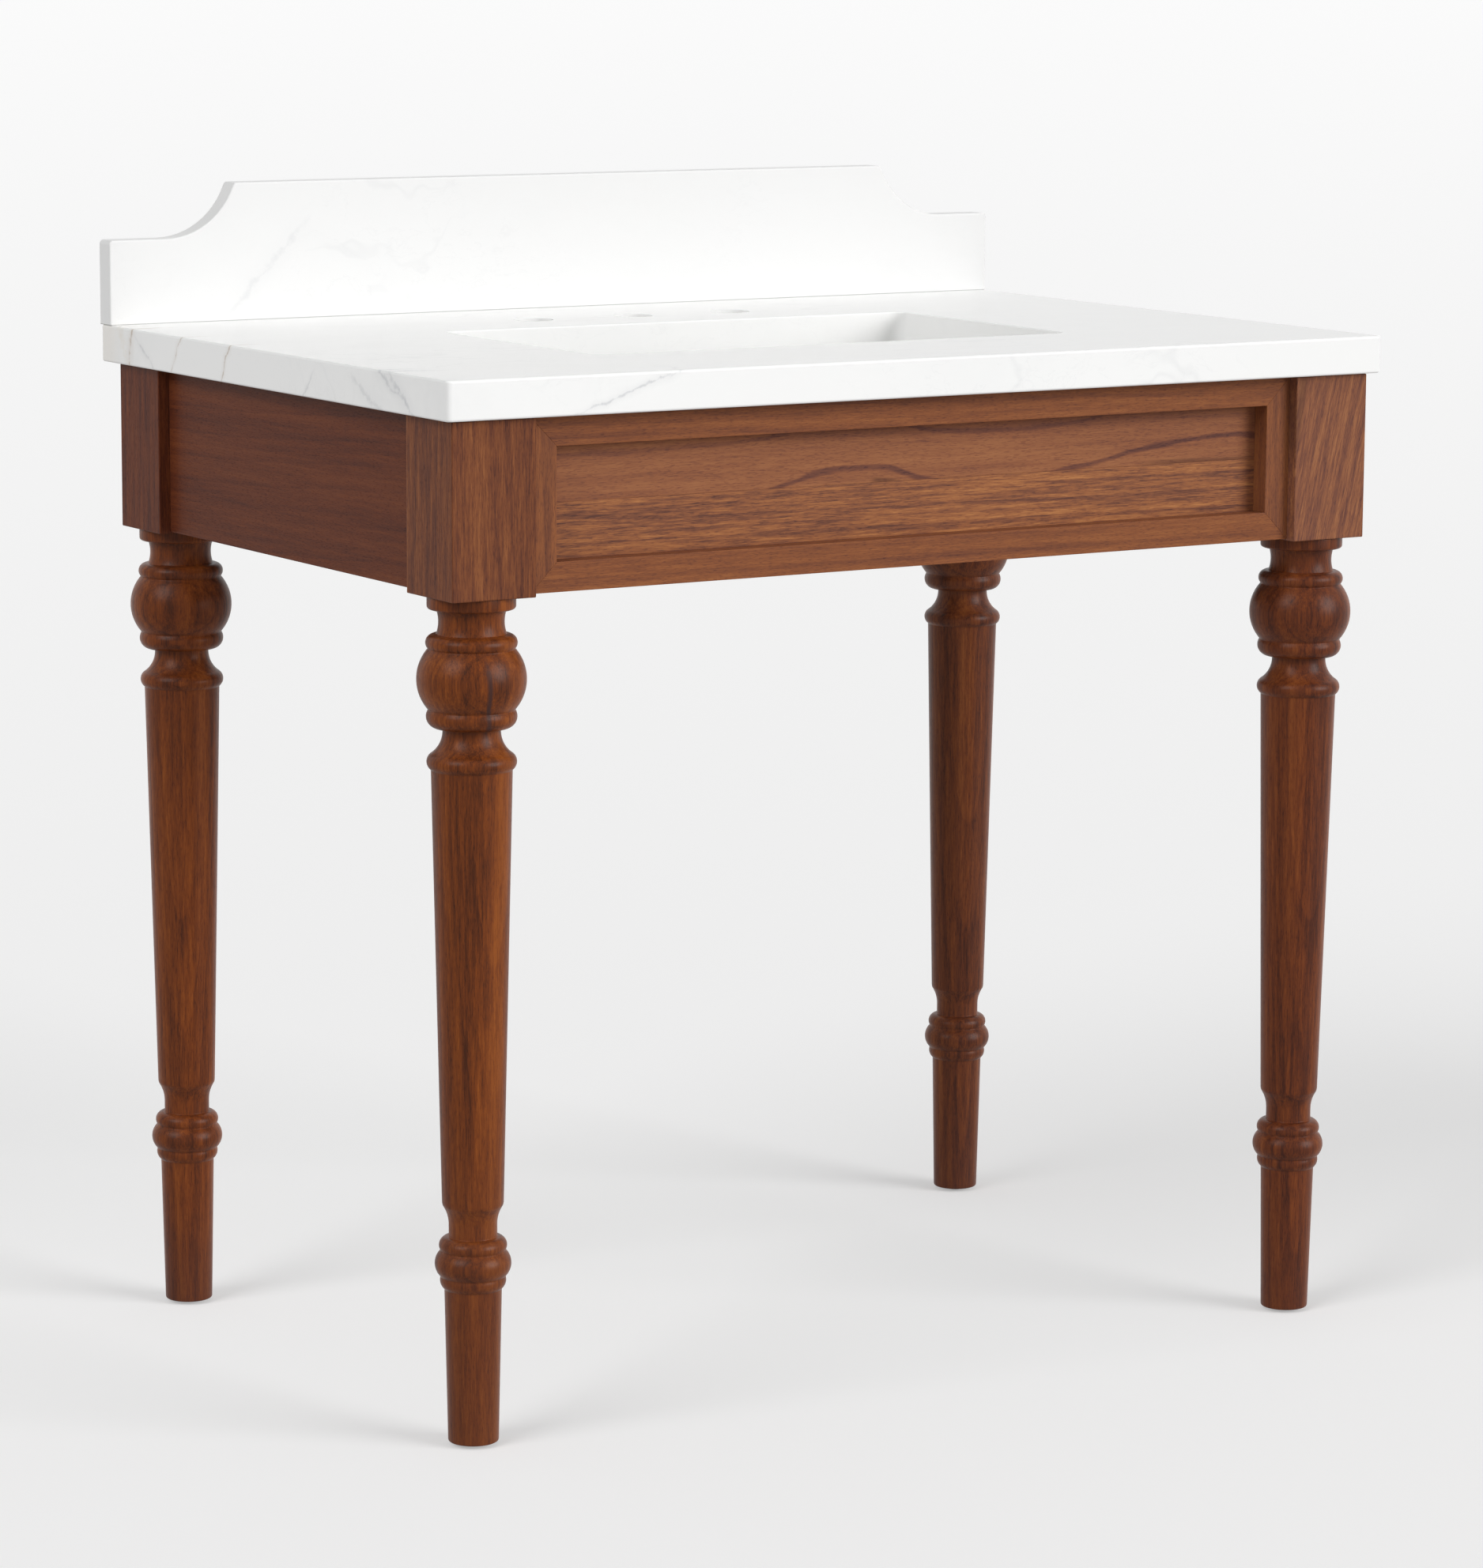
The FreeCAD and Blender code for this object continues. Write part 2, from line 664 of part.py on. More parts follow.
def make_posts():
    """Square posts with dowel holes on their two inner faces and an insert hole below."""
    insert_radius = S.post_insert_radius + S.fastener_clearance
    insert_room = S.post_insert_length
    bolt_radius = S.hanger_radius + S.fastener_clearance
    bolt_depth = S.hanger_in_post + S.bolt_end_room
    half = S.post_size / 2
    rail_y = {-1: FRONT_FRAME_Y, 1: BACK_APRON_Y}
    for name, way_x, way_y, x, y in corner_places():
        body = start_body(f"post_{name}", (x, y, LEG_TOP))
        block(body, "stock", (-half, -half, ZERO), (half, half, S.post_height))
        dress(body, "Fillet", "arrises", S.post_ease, lambda box, edge: upright(box))
        bore(body, "insert_hole", (ZERO, ZERO, ZERO), "+Z", insert_radius, insert_room)
        bore(body, "bolt_room", (ZERO, ZERO, ZERO), "+Z", bolt_radius, bolt_depth)
        for number, share in enumerate(DOWEL_HEIGHT_SHARES, start=1):
            height = APRON_BOTTOM - LEG_TOP + APRON_HEIGHT * share
            depth = DOWEL_IN_POST + S.fastener_clearance
            mouth = (-way_x * half, rail_y[way_y] - y, height)
            toward = "+X" if way_x > 0 else "-X"
            bore(body, f"rail_dowel_{number}", mouth, toward, DOWEL_BORE_RADIUS, depth)
            mouth = (way_x * SIDE_APRON_X - x, -way_y * half, height)
            toward = "+Y" if way_y > 0 else "-Y"
            bore(body, f"side_dowel_{number}", mouth, toward, DOWEL_BORE_RADIUS, depth)


def screw_places(span):
    """Three screw places along a cleat of a given length, measured from its middle."""
    reach = span / 2 - S.screw_end_gap
    return (-reach, ZERO, reach)


def drill_apron(body, run, span, face, inward):
    """Dowel holes in both ends of an apron and screw holes in its inner face."""
    dowel_depth = S.dowel_in_rail + S.fastener_clearance
    for number, share in enumerate(DOWEL_HEIGHT_SHARES, start=1):
        for way, sign in ((-1, "+"), (1, "-")):
            along = way * span / 2
            mouth = [along, ZERO, APRON_HEIGHT * share]
            if run == "Y":
                mouth = [ZERO, along, APRON_HEIGHT * share]
            name = f"dowel_hole_{number}_{'start' if way < 0 else 'end'}"
            bore(body, name, mouth, sign + run, DOWEL_BORE_RADIUS, dowel_depth)
    screw_radius = S.screw_radius + S.fastener_clearance
    screw_depth = S.screw_length - S.cleat_width + S.fastener_clearance
    height = CLEAT_SCREW_Z - APRON_BOTTOM
    for number, along in enumerate(screw_places(span), start=1):
        mouth = (along, face, height) if run == "X" else (face, along, height)
        bore(body, f"screw_hole_{number}", mouth, inward, screw_radius, screw_depth)


def make_aprons():
    """Plain boards at the sides and the back, set in from the posts' faces."""
    half = S.apron_thick / 2
    bay_y = BAY_FRONT_Y + BAY_DEPTH / 2
    for side, way in SIDES.items():
        body = start_body(f"side_apron_{side}", (way * SIDE_APRON_X, bay_y, APRON_BOTTOM))
        block(body, "board", (-half, -BAY_DEPTH / 2, ZERO), (half, BAY_DEPTH / 2, APRON_HEIGHT))
        drill_apron(body, "Y", BAY_DEPTH, -way * half, "+X" if way > 0 else "-X")
    body = start_body("back_apron", (ZERO, BACK_APRON_Y, APRON_BOTTOM))
    block(body, "board", (-BAY_HALF_WIDTH, -half, ZERO), (BAY_HALF_WIDTH, half, APRON_HEIGHT))
    drill_apron(body, "X", 2 * BAY_HALF_WIDTH, -half, "+Y")


def cut_groove(body, low_x, high_x, low_z, high_z):
    """The panel's groove, cut right through the mitres as on the real frame."""
    front = S.panel_recess - S.groove_clearance
    back = S.panel_recess + S.panel_thick + S.groove_clearance
    block(body, "groove", (low_x, front, low_z), (high_x, back, high_z), cut=True)


def make_front_frame():
    """Two stiles and two rails, mitred at the corners and grooved for the panel."""
    wide = S.front_member_width
    half = BAY_HALF_WIDTH
    tall = APRON_HEIGHT
    corner = (ZERO, FRONT_FACE_Y, APRON_BOTTOM)
    for side, way in SIDES.items():
        body = start_body(f"front_stile_{side}", corner)
        outer = way * half
        inner = way * (half - wide)
        corners = [(outer, ZERO), (inner, wide), (inner, tall - wide), (outer, tall)]
        sketch = start_sketch(body, "XZ_Plane", "outline")
        draw_loop(sketch, [(*point, None, 0) for point in corners])
        pad(body, sketch, S.front_frame_thick, reverse=True)
        edge = way * (half - wide + S.groove_depth)
        reach = way * (half - wide - S.overrun)
        cut_groove(body, *((reach, edge) if way > 0 else (edge, reach)), ZERO, tall)
        for number, share in enumerate(DOWEL_HEIGHT_SHARES, start=1):
            mouth = (outer, S.front_frame_thick / 2, tall * share)
            toward = "-X" if way > 0 else "+X"
            depth = S.dowel_in_rail + S.fastener_clearance
            bore(body, f"dowel_hole_{number}", mouth, toward, DOWEL_BORE_RADIUS, depth)
    screw_radius = S.screw_radius + S.fastener_clearance
    screw_depth = S.screw_length - S.cleat_width + S.fastener_clearance
    for name, foot, way in (("bottom", ZERO, 1), ("top", tall, -1)):
        body = start_body(f"front_rail_{name}", corner)
        inner = foot + way * wide
        corners = [(-half, foot), (half, foot), (half - wide, inner), (wide - half, inner)]
        sketch = start_sketch(body, "XZ_Plane", "outline")
        draw_loop(sketch, [(*point, None, 0) for point in corners])
        pad(body, sketch, S.front_frame_thick, reverse=True)
        edge = inner - way * S.groove_depth
        reach = inner + way * S.overrun
        cut_groove(body, -half, half, *((edge, reach) if way > 0 else (reach, edge)))
        if name == "top":
            for number, x in enumerate(screw_places(2 * half), start=1):
                mouth = (x, S.front_frame_thick, CLEAT_SCREW_Z - APRON_BOTTOM)
                bore(body, f"screw_hole_{number}", mouth, "-Y", screw_radius, screw_depth)


def make_panel():
    """The recessed panel: two boards that meet at a seam and sit in the groove."""
    reach = S.groove_depth - S.groove_clearance
    half = BAY_HALF_WIDTH - S.front_member_width + reach
    low = S.front_member_width - reach
    high = APRON_HEIGHT - low
    opening = APRON_HEIGHT - 2 * S.front_member_width
    seam = S.front_member_width + opening * PANEL_SEAM_SHARE
    corner = (ZERO, FRONT_FACE_Y + S.panel_recess, APRON_BOTTOM)
    for name, bottom, top in (("lower", low, seam), ("upper", seam, high)):
        body = start_body(f"front_panel_{name}", corner)
        block(body, "board", (-half, ZERO, bottom), (half, S.panel_thick, top))


def make_dowels():
    """Sixteen dowels that join the front frame and the aprons to the posts."""
    dowel = start_body("dowel_pattern", node=False)
    rod(dowel, "pin", (ZERO, ZERO, ZERO), "+Z", S.dowel_radius, S.dowel_length)
    places = []
    for share in DOWEL_HEIGHT_SHARES:
        height = APRON_BOTTOM + APRON_HEIGHT * share
        for way_x in SIDES.values():
            start = BAY_HALF_WIDTH - S.dowel_in_rail
            for y in (FRONT_FRAME_Y, BACK_APRON_Y):
                places.append(((way_x * start, y, height), TURNS["+X" if way_x > 0 else "-X"]))
            front = BAY_FRONT_Y + S.dowel_in_rail
            back = BAY_FRONT_Y + BAY_DEPTH - S.dowel_in_rail
            places.append(((way_x * SIDE_APRON_X, front, height), TURNS["-Y"]))
            places.append(((way_x * SIDE_APRON_X, back, height), TURNS["+Y"]))
    group("frame_dowels", dowel, places)


def make_glue_blocks():
    """Three-cornered blocks glued where the aprons and the front frame meet the posts."""
    pattern = start_body("glue_block_pattern", node=False)
    side = S.glue_block_side
    sketch = start_sketch(pattern, "XY_Plane", "outline")
    corners = [(ZERO, ZERO), (side, ZERO), (ZERO, side)]
    draw_loop(sketch, [(*point, None, 0) for point in corners])
    pad(pattern, sketch, APRON_HEIGHT - S.cleat_height - 2 * S.glue_block_margin)
    level_z = APRON_BOTTOM + S.glue_block_margin
    side_x = SIDE_APRON_X - S.apron_thick / 2
    back_y = BACK_APRON_Y - S.apron_thick / 2
    corner_y = {-1: BAY_FRONT_Y, 1: BAY_FRONT_Y + BAY_DEPTH}
    rail_y = {-1: FRONT_BACK_Y, 1: back_y}
    quarter = {(1, 1): 0, (-1, 1): 90, (-1, -1): 180, (1, -1): 270}
    places = []
    for way_y in ENDS.values():
        for way_x in SIDES.values():
            turn = FreeCAD.Rotation(FreeCAD.Vector(0, 0, 1), quarter[-way_x, -way_y])
            places.append(((way_x * side_x, corner_y[way_y], level_z), turn))
            places.append(((way_x * BAY_HALF_WIDTH, rail_y[way_y], level_z), turn))
    group("glue_blocks", pattern, places)


def make_cleats():
    """Battens flush with the frame's top edge that carry the slab, and their screws."""
    half = S.cleat_width / 2
    tall = S.cleat_height
    bottom = FRAME_TOP - tall
    bay_y = BAY_FRONT_Y + BAY_DEPTH / 2
    side_x = SIDE_APRON_X - S.apron_thick / 2 - half
    back_y = BACK_APRON_Y - S.apron_thick / 2 - half
    front_y = FRONT_BACK_Y + half
    hole_radius = S.screw_radius + S.fastener_clearance
    runs = []
    for side, way in SIDES.items():
        out = "+X" if way > 0 else "-X"
        runs.append((side, "Y", BAY_DEPTH, (way * side_x, bay_y, bottom), out))
    runs.append(("front", "X", 2 * BAY_HALF_WIDTH, (ZERO, front_y, bottom), "-Y"))
    runs.append(("back", "X", 2 * BAY_HALF_WIDTH, (ZERO, back_y, bottom), "+Y"))
    places = []
    for name, run, span, corner, out in runs:
        body = start_body(f"cleat_{name}", corner)
        reach = span / 2
        low = (-reach, -half, ZERO) if run == "X" else (-half, -reach, ZERO)
        high = (reach, half, tall) if run == "X" else (half, reach, tall)
        block(body, "batten", low, high)
        inner = -half if out[0] == "+" else half
        for number, along in enumerate(screw_places(span), start=1):
            mouth = (along, inner, tall / 2) if run == "X" else (inner, along, tall / 2)
            through = S.cleat_width + S.overrun
            bore(body, f"screw_hole_{number}", mouth, out, hole_radius, through)
            target = [size + shift for size, shift in zip(corner, mouth)]
            places.append((target, TURNS[out]))
    screw = start_body("screw_pattern", node=False)
    sketch = start_sketch(screw, "XZ_Plane", "outline")
    draw_loop(sketch, [
        (ZERO, -S.screw_head_height, None, 0),
        (S.screw_head_radius, -S.screw_head_height, None, 0),
        (S.screw_head_radius, ZERO, None, 0),
        (S.screw_radius, ZERO, None, 0),
        (S.screw_radius, S.screw_length - S.screw_radius, None, 0),
        (ZERO, S.screw_length, None, 0),
    ])
    turn_profile(screw, sketch)
    group("cleat_screws", screw, places)


def turn_profile(body, sketch):
    """Spin a half outline about the sketch's upright axis."""
    feature = body.newObject("PartDesign::Revolution", f"{body.Label}_turning")
    feature.Profile = sketch
    feature.ReferenceAxis = (sketch, ["V_Axis"])
    feature.Angle = 360
    return feature


def make_bedding():
    """Thin strips of sealant between the frame's top edges and the slab."""
    outer_x = POST_OUTER_X - S.bedding_inset
    front = POST_FRONT_Y + S.bedding_inset
    back = POST_BACK_Y - S.bedding_inset
    inner_x = outer_x - S.bedding_width
    strips = {
        "left": (-outer_x, -inner_x, front, back),
        "right": (inner_x, outer_x, front, back),
        "front": (-inner_x, inner_x, front, front + S.bedding_width),
        "back": (-inner_x, inner_x, back - S.bedding_width, back),
    }
    for name, (low_x, high_x, low_y, high_y) in strips.items():
        body = start_body(f"bedding_{name}", (low_x, low_y, FRAME_TOP))
        size = (high_x - low_x, high_y - low_y, S.bedding_thick)
        block(body, "strip", (ZERO, ZERO, ZERO), size)


def leg_profile():
    """The half outline of a leg, from the middle of its foot up to its top."""
    outline = [(ZERO, ZERO, None, 0)]
    height = ZERO

    def step(radius, rise=ZERO, swell=None, side=-1):
        nonlocal height
        height = height + rise
        outline.append((radius, height, swell, side))

    step(S.foot_bottom_radius - S.foot_round)
    step(S.foot_bottom_radius, S.foot_round, S.foot_round * QUARTER_SWELL_SHARE)
    step(S.foot_top_radius, S.foot_height - S.foot_round)
    step(S.ring_edge_radius, S.ankle_bead_height, S.ankle_bead_swell)
    step(S.ring_edge_radius, S.ring_height, S.ring_swell)
    step(S.ankle_band_radius, S.ankle_band_height, S.ankle_band_swell)
    step(S.ankle_radius)
    step(S.ankle_radius, S.ankle_height)
    step(S.ankle_cove_radius, S.ankle_cove_height, S.ankle_cove_dip, 1)
    step(S.shaft_end_radius, S.shaft_step)
    crown = S.neck_bead_height + S.ogee_height + S.lower_bead_height + S.ball_height
    crown = crown + S.upper_bead_height + S.neck_height + S.collar_height
    step(S.shaft_top_radius, S.leg_length - crown - height)
    step(S.neck_bead_radius, S.neck_bead_height, S.neck_bead_swell)
    step(S.waist_radius, S.ogee_height, S.ogee_dip, 1)
    step(S.lower_bead_radius)
    step(S.ball_edge_radius, S.lower_bead_height, S.lower_bead_swell)
    step(S.ball_edge_radius, S.ball_height, S.ball_swell)
    step(S.upper_bead_radius, S.upper_bead_height, S.upper_bead_swell)
    step(S.neck_radius)
    step(S.neck_radius, S.neck_height, S.neck_dip, 1)
    step(S.collar_radius - S.collar_round)
    step(S.collar_radius, S.collar_round, S.collar_round * QUARTER_SWELL_SHARE)
    step(S.collar_radius, S.collar_height - S.collar_round)
    step(ZERO)
    return outline


def make_legs():
    """Four turned legs, bored above for the hanger bolt and below for the leveller."""
    bolt_radius = S.hanger_radius + S.fastener_clearance
    bolt_depth = S.hanger_in_leg + S.bolt_end_room
    glide_room = INSERT_BOTTOM - S.glide_shown
    insert_room = glide_room + S.leveller_insert_length
    stem_room = STEM_SHOULDER + S.stem_length - S.glide_shown + S.stem_top_room
    foot = (ZERO, ZERO, ZERO)
    insert_radius = S.leveller_insert_radius + S.fastener_clearance
    for name, _, _, x, y in corner_places():
        body = start_body(f"leg_{name}", (x, y, S.glide_shown))
        sketch = start_sketch(body, "XZ_Plane", "outline")
        draw_loop(sketch, leg_profile())
        turn_profile(body, sketch)
        bore(body, "bolt_hole", (ZERO, ZERO, S.leg_length), "-Z", bolt_radius, bolt_depth)
        bore(body, "glide_recess", foot, "+Z", S.glide_radius + S.glide_side_room, glide_room)
        bore(body, "insert_hole", foot, "+Z", insert_radius, insert_room)
        bore(body, "stem_hole", foot, "+Z", S.stem_radius + S.stem_bore_room, stem_room)


def make_leg_fixings():
    """Hanger bolts in leg and post, and the posts' threaded inserts."""
    bolt = start_body("bolt_pattern", node=False)
    length = S.hanger_in_leg + S.hanger_in_post
    rod(bolt, "shank", (ZERO, ZERO, LEG_TOP - S.hanger_in_leg), "+Z", S.hanger_radius, length)
    insert = start_body("post_insert_pattern", node=False)
    rod(insert, "sleeve", (ZERO, ZERO, LEG_TOP), "+Z", S.post_insert_radius, S.post_insert_length)
    bolt_radius = S.hanger_radius + S.fastener_clearance
    through = S.post_insert_length + S.overrun
    bore(insert, "thread", (ZERO, ZERO, LEG_TOP), "+Z", bolt_radius, through)
    places = [((x, y, ZERO), FreeCAD.Rotation()) for _, _, _, x, y in corner_places()]
    group("leg_hanger_bolts", bolt, places)
    group("post_bolt_inserts", insert, places)


def make_levellers():
    """Inserts in the feet, and in each a screw stem that turns in a black glide."""
    insert = start_body("leveller_insert_pattern", node=False)
    sleeve = S.leveller_insert_length
    rod(insert, "sleeve", (ZERO, ZERO, INSERT_BOTTOM), "+Z", S.leveller_insert_radius, sleeve)
    thread_radius = S.stem_radius + S.stem_running_gap
    bore(insert, "thread", (ZERO, ZERO, INSERT_BOTTOM), "+Z", thread_radius, sleeve + S.overrun)
    places = [((x, y, ZERO), FreeCAD.Rotation()) for _, _, _, x, y in corner_places()]
    group("leveller_inserts", insert, places)
    pivot_bore = S.pivot_radius + S.stem_running_gap
    pivot_bottom = S.glide_floor + S.pivot_seat_gap
    for name, _, _, x, y in corner_places():
        glide = start_body(f"glide_{name}", (x, y, ZERO))
        rod(glide, "puck", (ZERO, ZERO, ZERO), "+Z", S.glide_radius, S.glide_height)
        dress(glide, "Fillet", "rim", S.glide_round, lambda box, edge: level(box, ZERO))
        socket = S.glide_height - S.glide_floor
        bore(glide, "socket", (ZERO, ZERO, S.glide_height), "-Z", pivot_bore, socket)
        stem = start_body(f"leveller_stem_{name}", (x, y, ZERO))
        pivot = STEM_SHOULDER - pivot_bottom + S.overrun
        rod(stem, "pivot", (ZERO, ZERO, pivot_bottom), "+Z", S.pivot_radius, pivot)
        rod(stem, "thread", (ZERO, ZERO, STEM_SHOULDER), "+Z", S.stem_radius, S.stem_length)
        top = STEM_SHOULDER + S.stem_length
        dress(stem, "Chamfer", "tip", S.stem_chamfer, lambda box, edge: level(box, top))


def check_document():
    """Stop on any failed object or sub-part before a file is written."""
    DOC.recompute()
    for item in DOC.Objects:
        faults = {"Invalid", "Error"} & set(item.State)
        if faults:
            raise RuntimeError(f"{item.Label} is {faults}")
    for node in NODES:
        shape = node.Shape
        if shape.isNull() or not shape.isValid() or not shape.Solids:
            raise RuntimeError(f"{node.Label} has no sound solid")


def write_nodes():
    os.makedirs("parts", exist_ok=True)
    for node in NODES:
        node.Shape.exportStep(f"parts/{node.Label}.step")
        box = node.Shape.BoundBox
        span = f"{box.XLength:.1f} x {box.YLength:.1f} x {box.ZLength:.1f}"
        print(f"{node.Label}: {len(node.Shape.Solids)} solid(s), {span}, {node.Shape.Volume:.0f} mm3")


make_marble_top()
make_backsplash()
make_basin()
make_gasket()
make_clips()
make_posts()
make_aprons()
make_front_frame()
make_panel()
make_dowels()
make_glue_blocks()
make_cleats()
make_bedding()
make_legs()
make_leg_fixings()
make_levellers()
check_document()
write_nodes()
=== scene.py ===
"""Looks of the console vanity: its detailed pieces, finishes, studio and camera, in metres."""

import math

import bmesh
import bpy
import numpy as np
from mathutils import Matrix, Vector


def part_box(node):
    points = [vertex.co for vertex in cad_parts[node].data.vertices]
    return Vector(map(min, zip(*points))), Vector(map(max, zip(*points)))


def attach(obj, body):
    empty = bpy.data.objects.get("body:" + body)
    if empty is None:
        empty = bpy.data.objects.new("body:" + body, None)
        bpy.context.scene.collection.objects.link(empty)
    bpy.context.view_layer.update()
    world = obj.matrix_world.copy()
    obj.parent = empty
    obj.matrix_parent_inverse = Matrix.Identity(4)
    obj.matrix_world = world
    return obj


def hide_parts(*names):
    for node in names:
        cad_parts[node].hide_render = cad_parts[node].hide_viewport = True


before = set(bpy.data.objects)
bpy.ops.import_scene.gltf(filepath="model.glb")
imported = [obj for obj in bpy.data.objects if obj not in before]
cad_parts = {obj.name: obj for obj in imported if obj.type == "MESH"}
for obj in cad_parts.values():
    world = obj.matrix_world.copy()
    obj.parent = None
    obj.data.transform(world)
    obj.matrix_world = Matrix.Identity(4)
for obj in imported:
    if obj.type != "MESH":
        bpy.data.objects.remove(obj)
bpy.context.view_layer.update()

MM = 0.001
CORNERS = ("front_left", "front_right", "back_left", "back_right")

# Mesh making
ARC_STEPS = 4
HOLD = 0.6 * MM
MERGE = 0.002 * MM
CREASE = math.radians(38)
QUARTER = math.pi / 2
# The least share of its rounding that a side edge keeps where the end's round narrows the outline
LEAST_EASE = 0.05

# Wood pieces
WOOD_EASE = 0.9 * MM
BOARD_EASE = 0.35 * MM
BATTEN_EASE = 1.2 * MM
MITRE_EASE = 0.3 * MM
MEMBER_WIDTH = 24 * MM
PANEL_RECESS = 17 * MM
PANEL_THICK = 9 * MM
GROOVE_DEPTH = 7 * MM
GROOVE_ROOM = 0.2 * MM

# Turned leg: (radius, rise, swell) from the foot up, in mm; a swell bulges out, a dip is negative
LEG_STEPS = (
    (20.5, 1.5, 0.44), (23.1, 125.1, 0.0), (26.0, 10.2, 1.8), (26.0, 21.3, 4.8),
    (20.5, 11.4, 3.8), (19.5, 0.0, 0.0), (19.5, 9.5, 0.0), (24.3, 16.3, -1.3),
    (24.8, 2.2, 0.0), (32.4, 351.0, 0.0), (31.7, 13.3, 3.8), (23.3, 20.4, -2.9),
    (29.9, 0.0, 0.0), (34.5, 14.3, 3.7), (34.5, 48.5, 9.2), (29.9, 11.5, 4.1),
    (28.0, 0.0, 0.0), (28.0, 20.0, -1.8), (32.8, 0.0, 0.0), (35.3, 2.5, 0.73),
    (35.3, 8.0, 0.0),
)
FOOT_RIM = 19.0
RECESS_RADIUS = 9.0
RECESS_DEPTH = 6.5
LEG_STEP_POINTS = 25
SANDING = 0.55
SANDING_SAMPLE = 0.1
SANDING_REACH = 4
POINTS_APART = 1e-9
TURN_PER_ROW = math.radians(5)
RISE_PER_ROW = 14.0
LEG_SIDES = 72

# Leveller
STEM_PITCH = 1.25 * MM
STEM_THREAD = 0.55 * MM
STEM_RADIUS = 4.0 * MM
STEM_SHOULDER = 9.3 * MM
PIVOT_RADIUS = 3.0 * MM
PIVOT_CHAMFER = 0.3 * MM
# The groove round the pivot: (cut into its radius, below the shoulder), in mm
PIVOT_GROOVE = ((0.0, 2.2), (0.5, 2.0), (0.5, 1.2), (0.0, 1.0), (0.0, 0.02))
THREAD_ROWS_PER_TURN = 8
THREAD_SIDES = 30
THREAD_STEEPNESS = 1.25
THREAD_CREST = 0.12
# A glide's dished sole (radius, height) and its waist (cut into its radius, height), in mm
GLIDE_SOLE = ((0.0, 0.5), (3.0, 0.45), (5.0, 0.12))
GLIDE_SOLE_EDGE = 2.2 * MM
GLIDE_WAIST = ((0.0, 3.6), (0.35, 3.9), (0.35, 4.7), (0.0, 5.0))
GLIDE_RIM = 1.1 * MM
GLIDE_BROW = 0.66 * MM
GLIDE_ARC_POINTS = 7
GLIDE_SIDES = 48
SOCKET_RADIUS = 3.1 * MM
SOCKET_CHAMFER = 0.4 * MM
SOCKET_FLOOR = 3.0 * MM

# Clips under the basin's flange, measured from each clip's stud
CLIP_PLACES = (
    (0.150, 0.140, 0.0), (-0.150, 0.140, 0.0), (0.150, -0.196, math.pi), (-0.150, -0.196, math.pi),
    (-0.273, -0.028, QUARTER), (0.273, -0.028, -QUARTER),
)
CLIP_HALF_WIDTH = 8.0 * MM
CLIP_THICK = 2.5 * MM
CLIP_BEND = 4.0 * MM
CLIP_INNER = 23.0 * MM
CLIP_START = 8.0 * MM
CLIP_RUN = 1.0 * MM
CLIP_LAP = 1.0 * MM
LAP_TUCK = 0.04 * MM
TIP_TUCK = 0.25 * MM
CLIP_BEND_STEPS = 9
CLIP_SIDE_POINTS = 7
STUD_RADIUS = 3.0 * MM
STUD_PITCH = 1.0 * MM
STUD_THREAD = 0.45 * MM
STUD_HOLE = 3.1 * MM
# A nut's hub from its top down, and one of its wings: (out from the axis, up from the top), in mm
HUB_OUTLINE = (
    (3.1, -0.3), (3.4, 0.0), (6.1, 0.0), (6.5, -0.4), (6.5, -1.6), (6.1, -2.1), (5.4, -3.2),
    (5.2, -6.4), (4.6, -7.0), (3.4, -7.0), (3.1, -6.7),
)
HUB_SIDES = 40
WING_HALF_THICK = 1.0 * MM
WING_EASE = 0.6 * MM
WING_CORNER_EASE = 1.2 * MM
WING_OUTLINE = ((3.8, -6.6), (9.4, -10.0), (12.0, -8.6), (11.2, -4.4), (5.0, -1.2))
SMALL_EASE = 0.35 * MM
SMALL_HOLD = 0.10 * MM

# Screws and glue blocks; the rings of a screw's head in mm from its middle
SCREW_RINGS = (0.0, 0.45, 0.55, 0.9, 1.3, 1.7, 2.1, 2.28, 2.4, 2.8, 3.2, 3.6, 3.85, 4.0)
SCREW_HEAD_RADIUS = 4.0 * MM
SCREW_HEAD_HEIGHT = 2.4 * MM
SCREW_DOME_RADIUS = 4.4 * MM
SCREW_RADIUS = 2.0 * MM
SCREW_LENGTH = 32.0 * MM
SLOT_HALF_WIDTH = 0.5 * MM
SLOT_REACH = 2.3 * MM
SLOT_DEPTH = 1.2 * MM
SCREW_SIDES = 48
SCREW_END_GAP = 40.0 * MM
GLUE_BLOCK_SIDE = 22.0 * MM
GLUE_BLOCK_EASE = 0.7 * MM

# Camera solved from the photograph
CAMERA_PLACE = (-2.437225, -3.916371, 1.237315)
CAMERA_YAW = math.radians(31.954)
CAMERA_PITCH = math.radians(9.479)
CAMERA_ROLL = math.radians(0.337)
FOCAL_PIXELS = 6769.906
IMAGE_HEIGHT = 1984
SENSOR = 36.0
SIGHT = 1000.0

# Studio
KEY_FROM = (0.52, -0.79, 0.33)
KEY_LEVEL = 0.705
KEY_SPREAD = math.radians(36)
SIDE_FROM = (-0.79, -0.20, 0.58)
SIDE_LEVEL = 0.44
SIDE_SPREAD = math.radians(34)
WHITE = (1.0, 1.0, 1.0, 1.0)
SKY_LEVEL = 0.30
BACKDROP = 0.94
FLOOR_PAINT = 0.60
FLOOR_LIFT_NEAR = 0.36
FLOOR_LIFT_FAR = 0.51
FLOOR_HALF = 160.0
FLOOR_BLEND = 9.0


# Surfaces


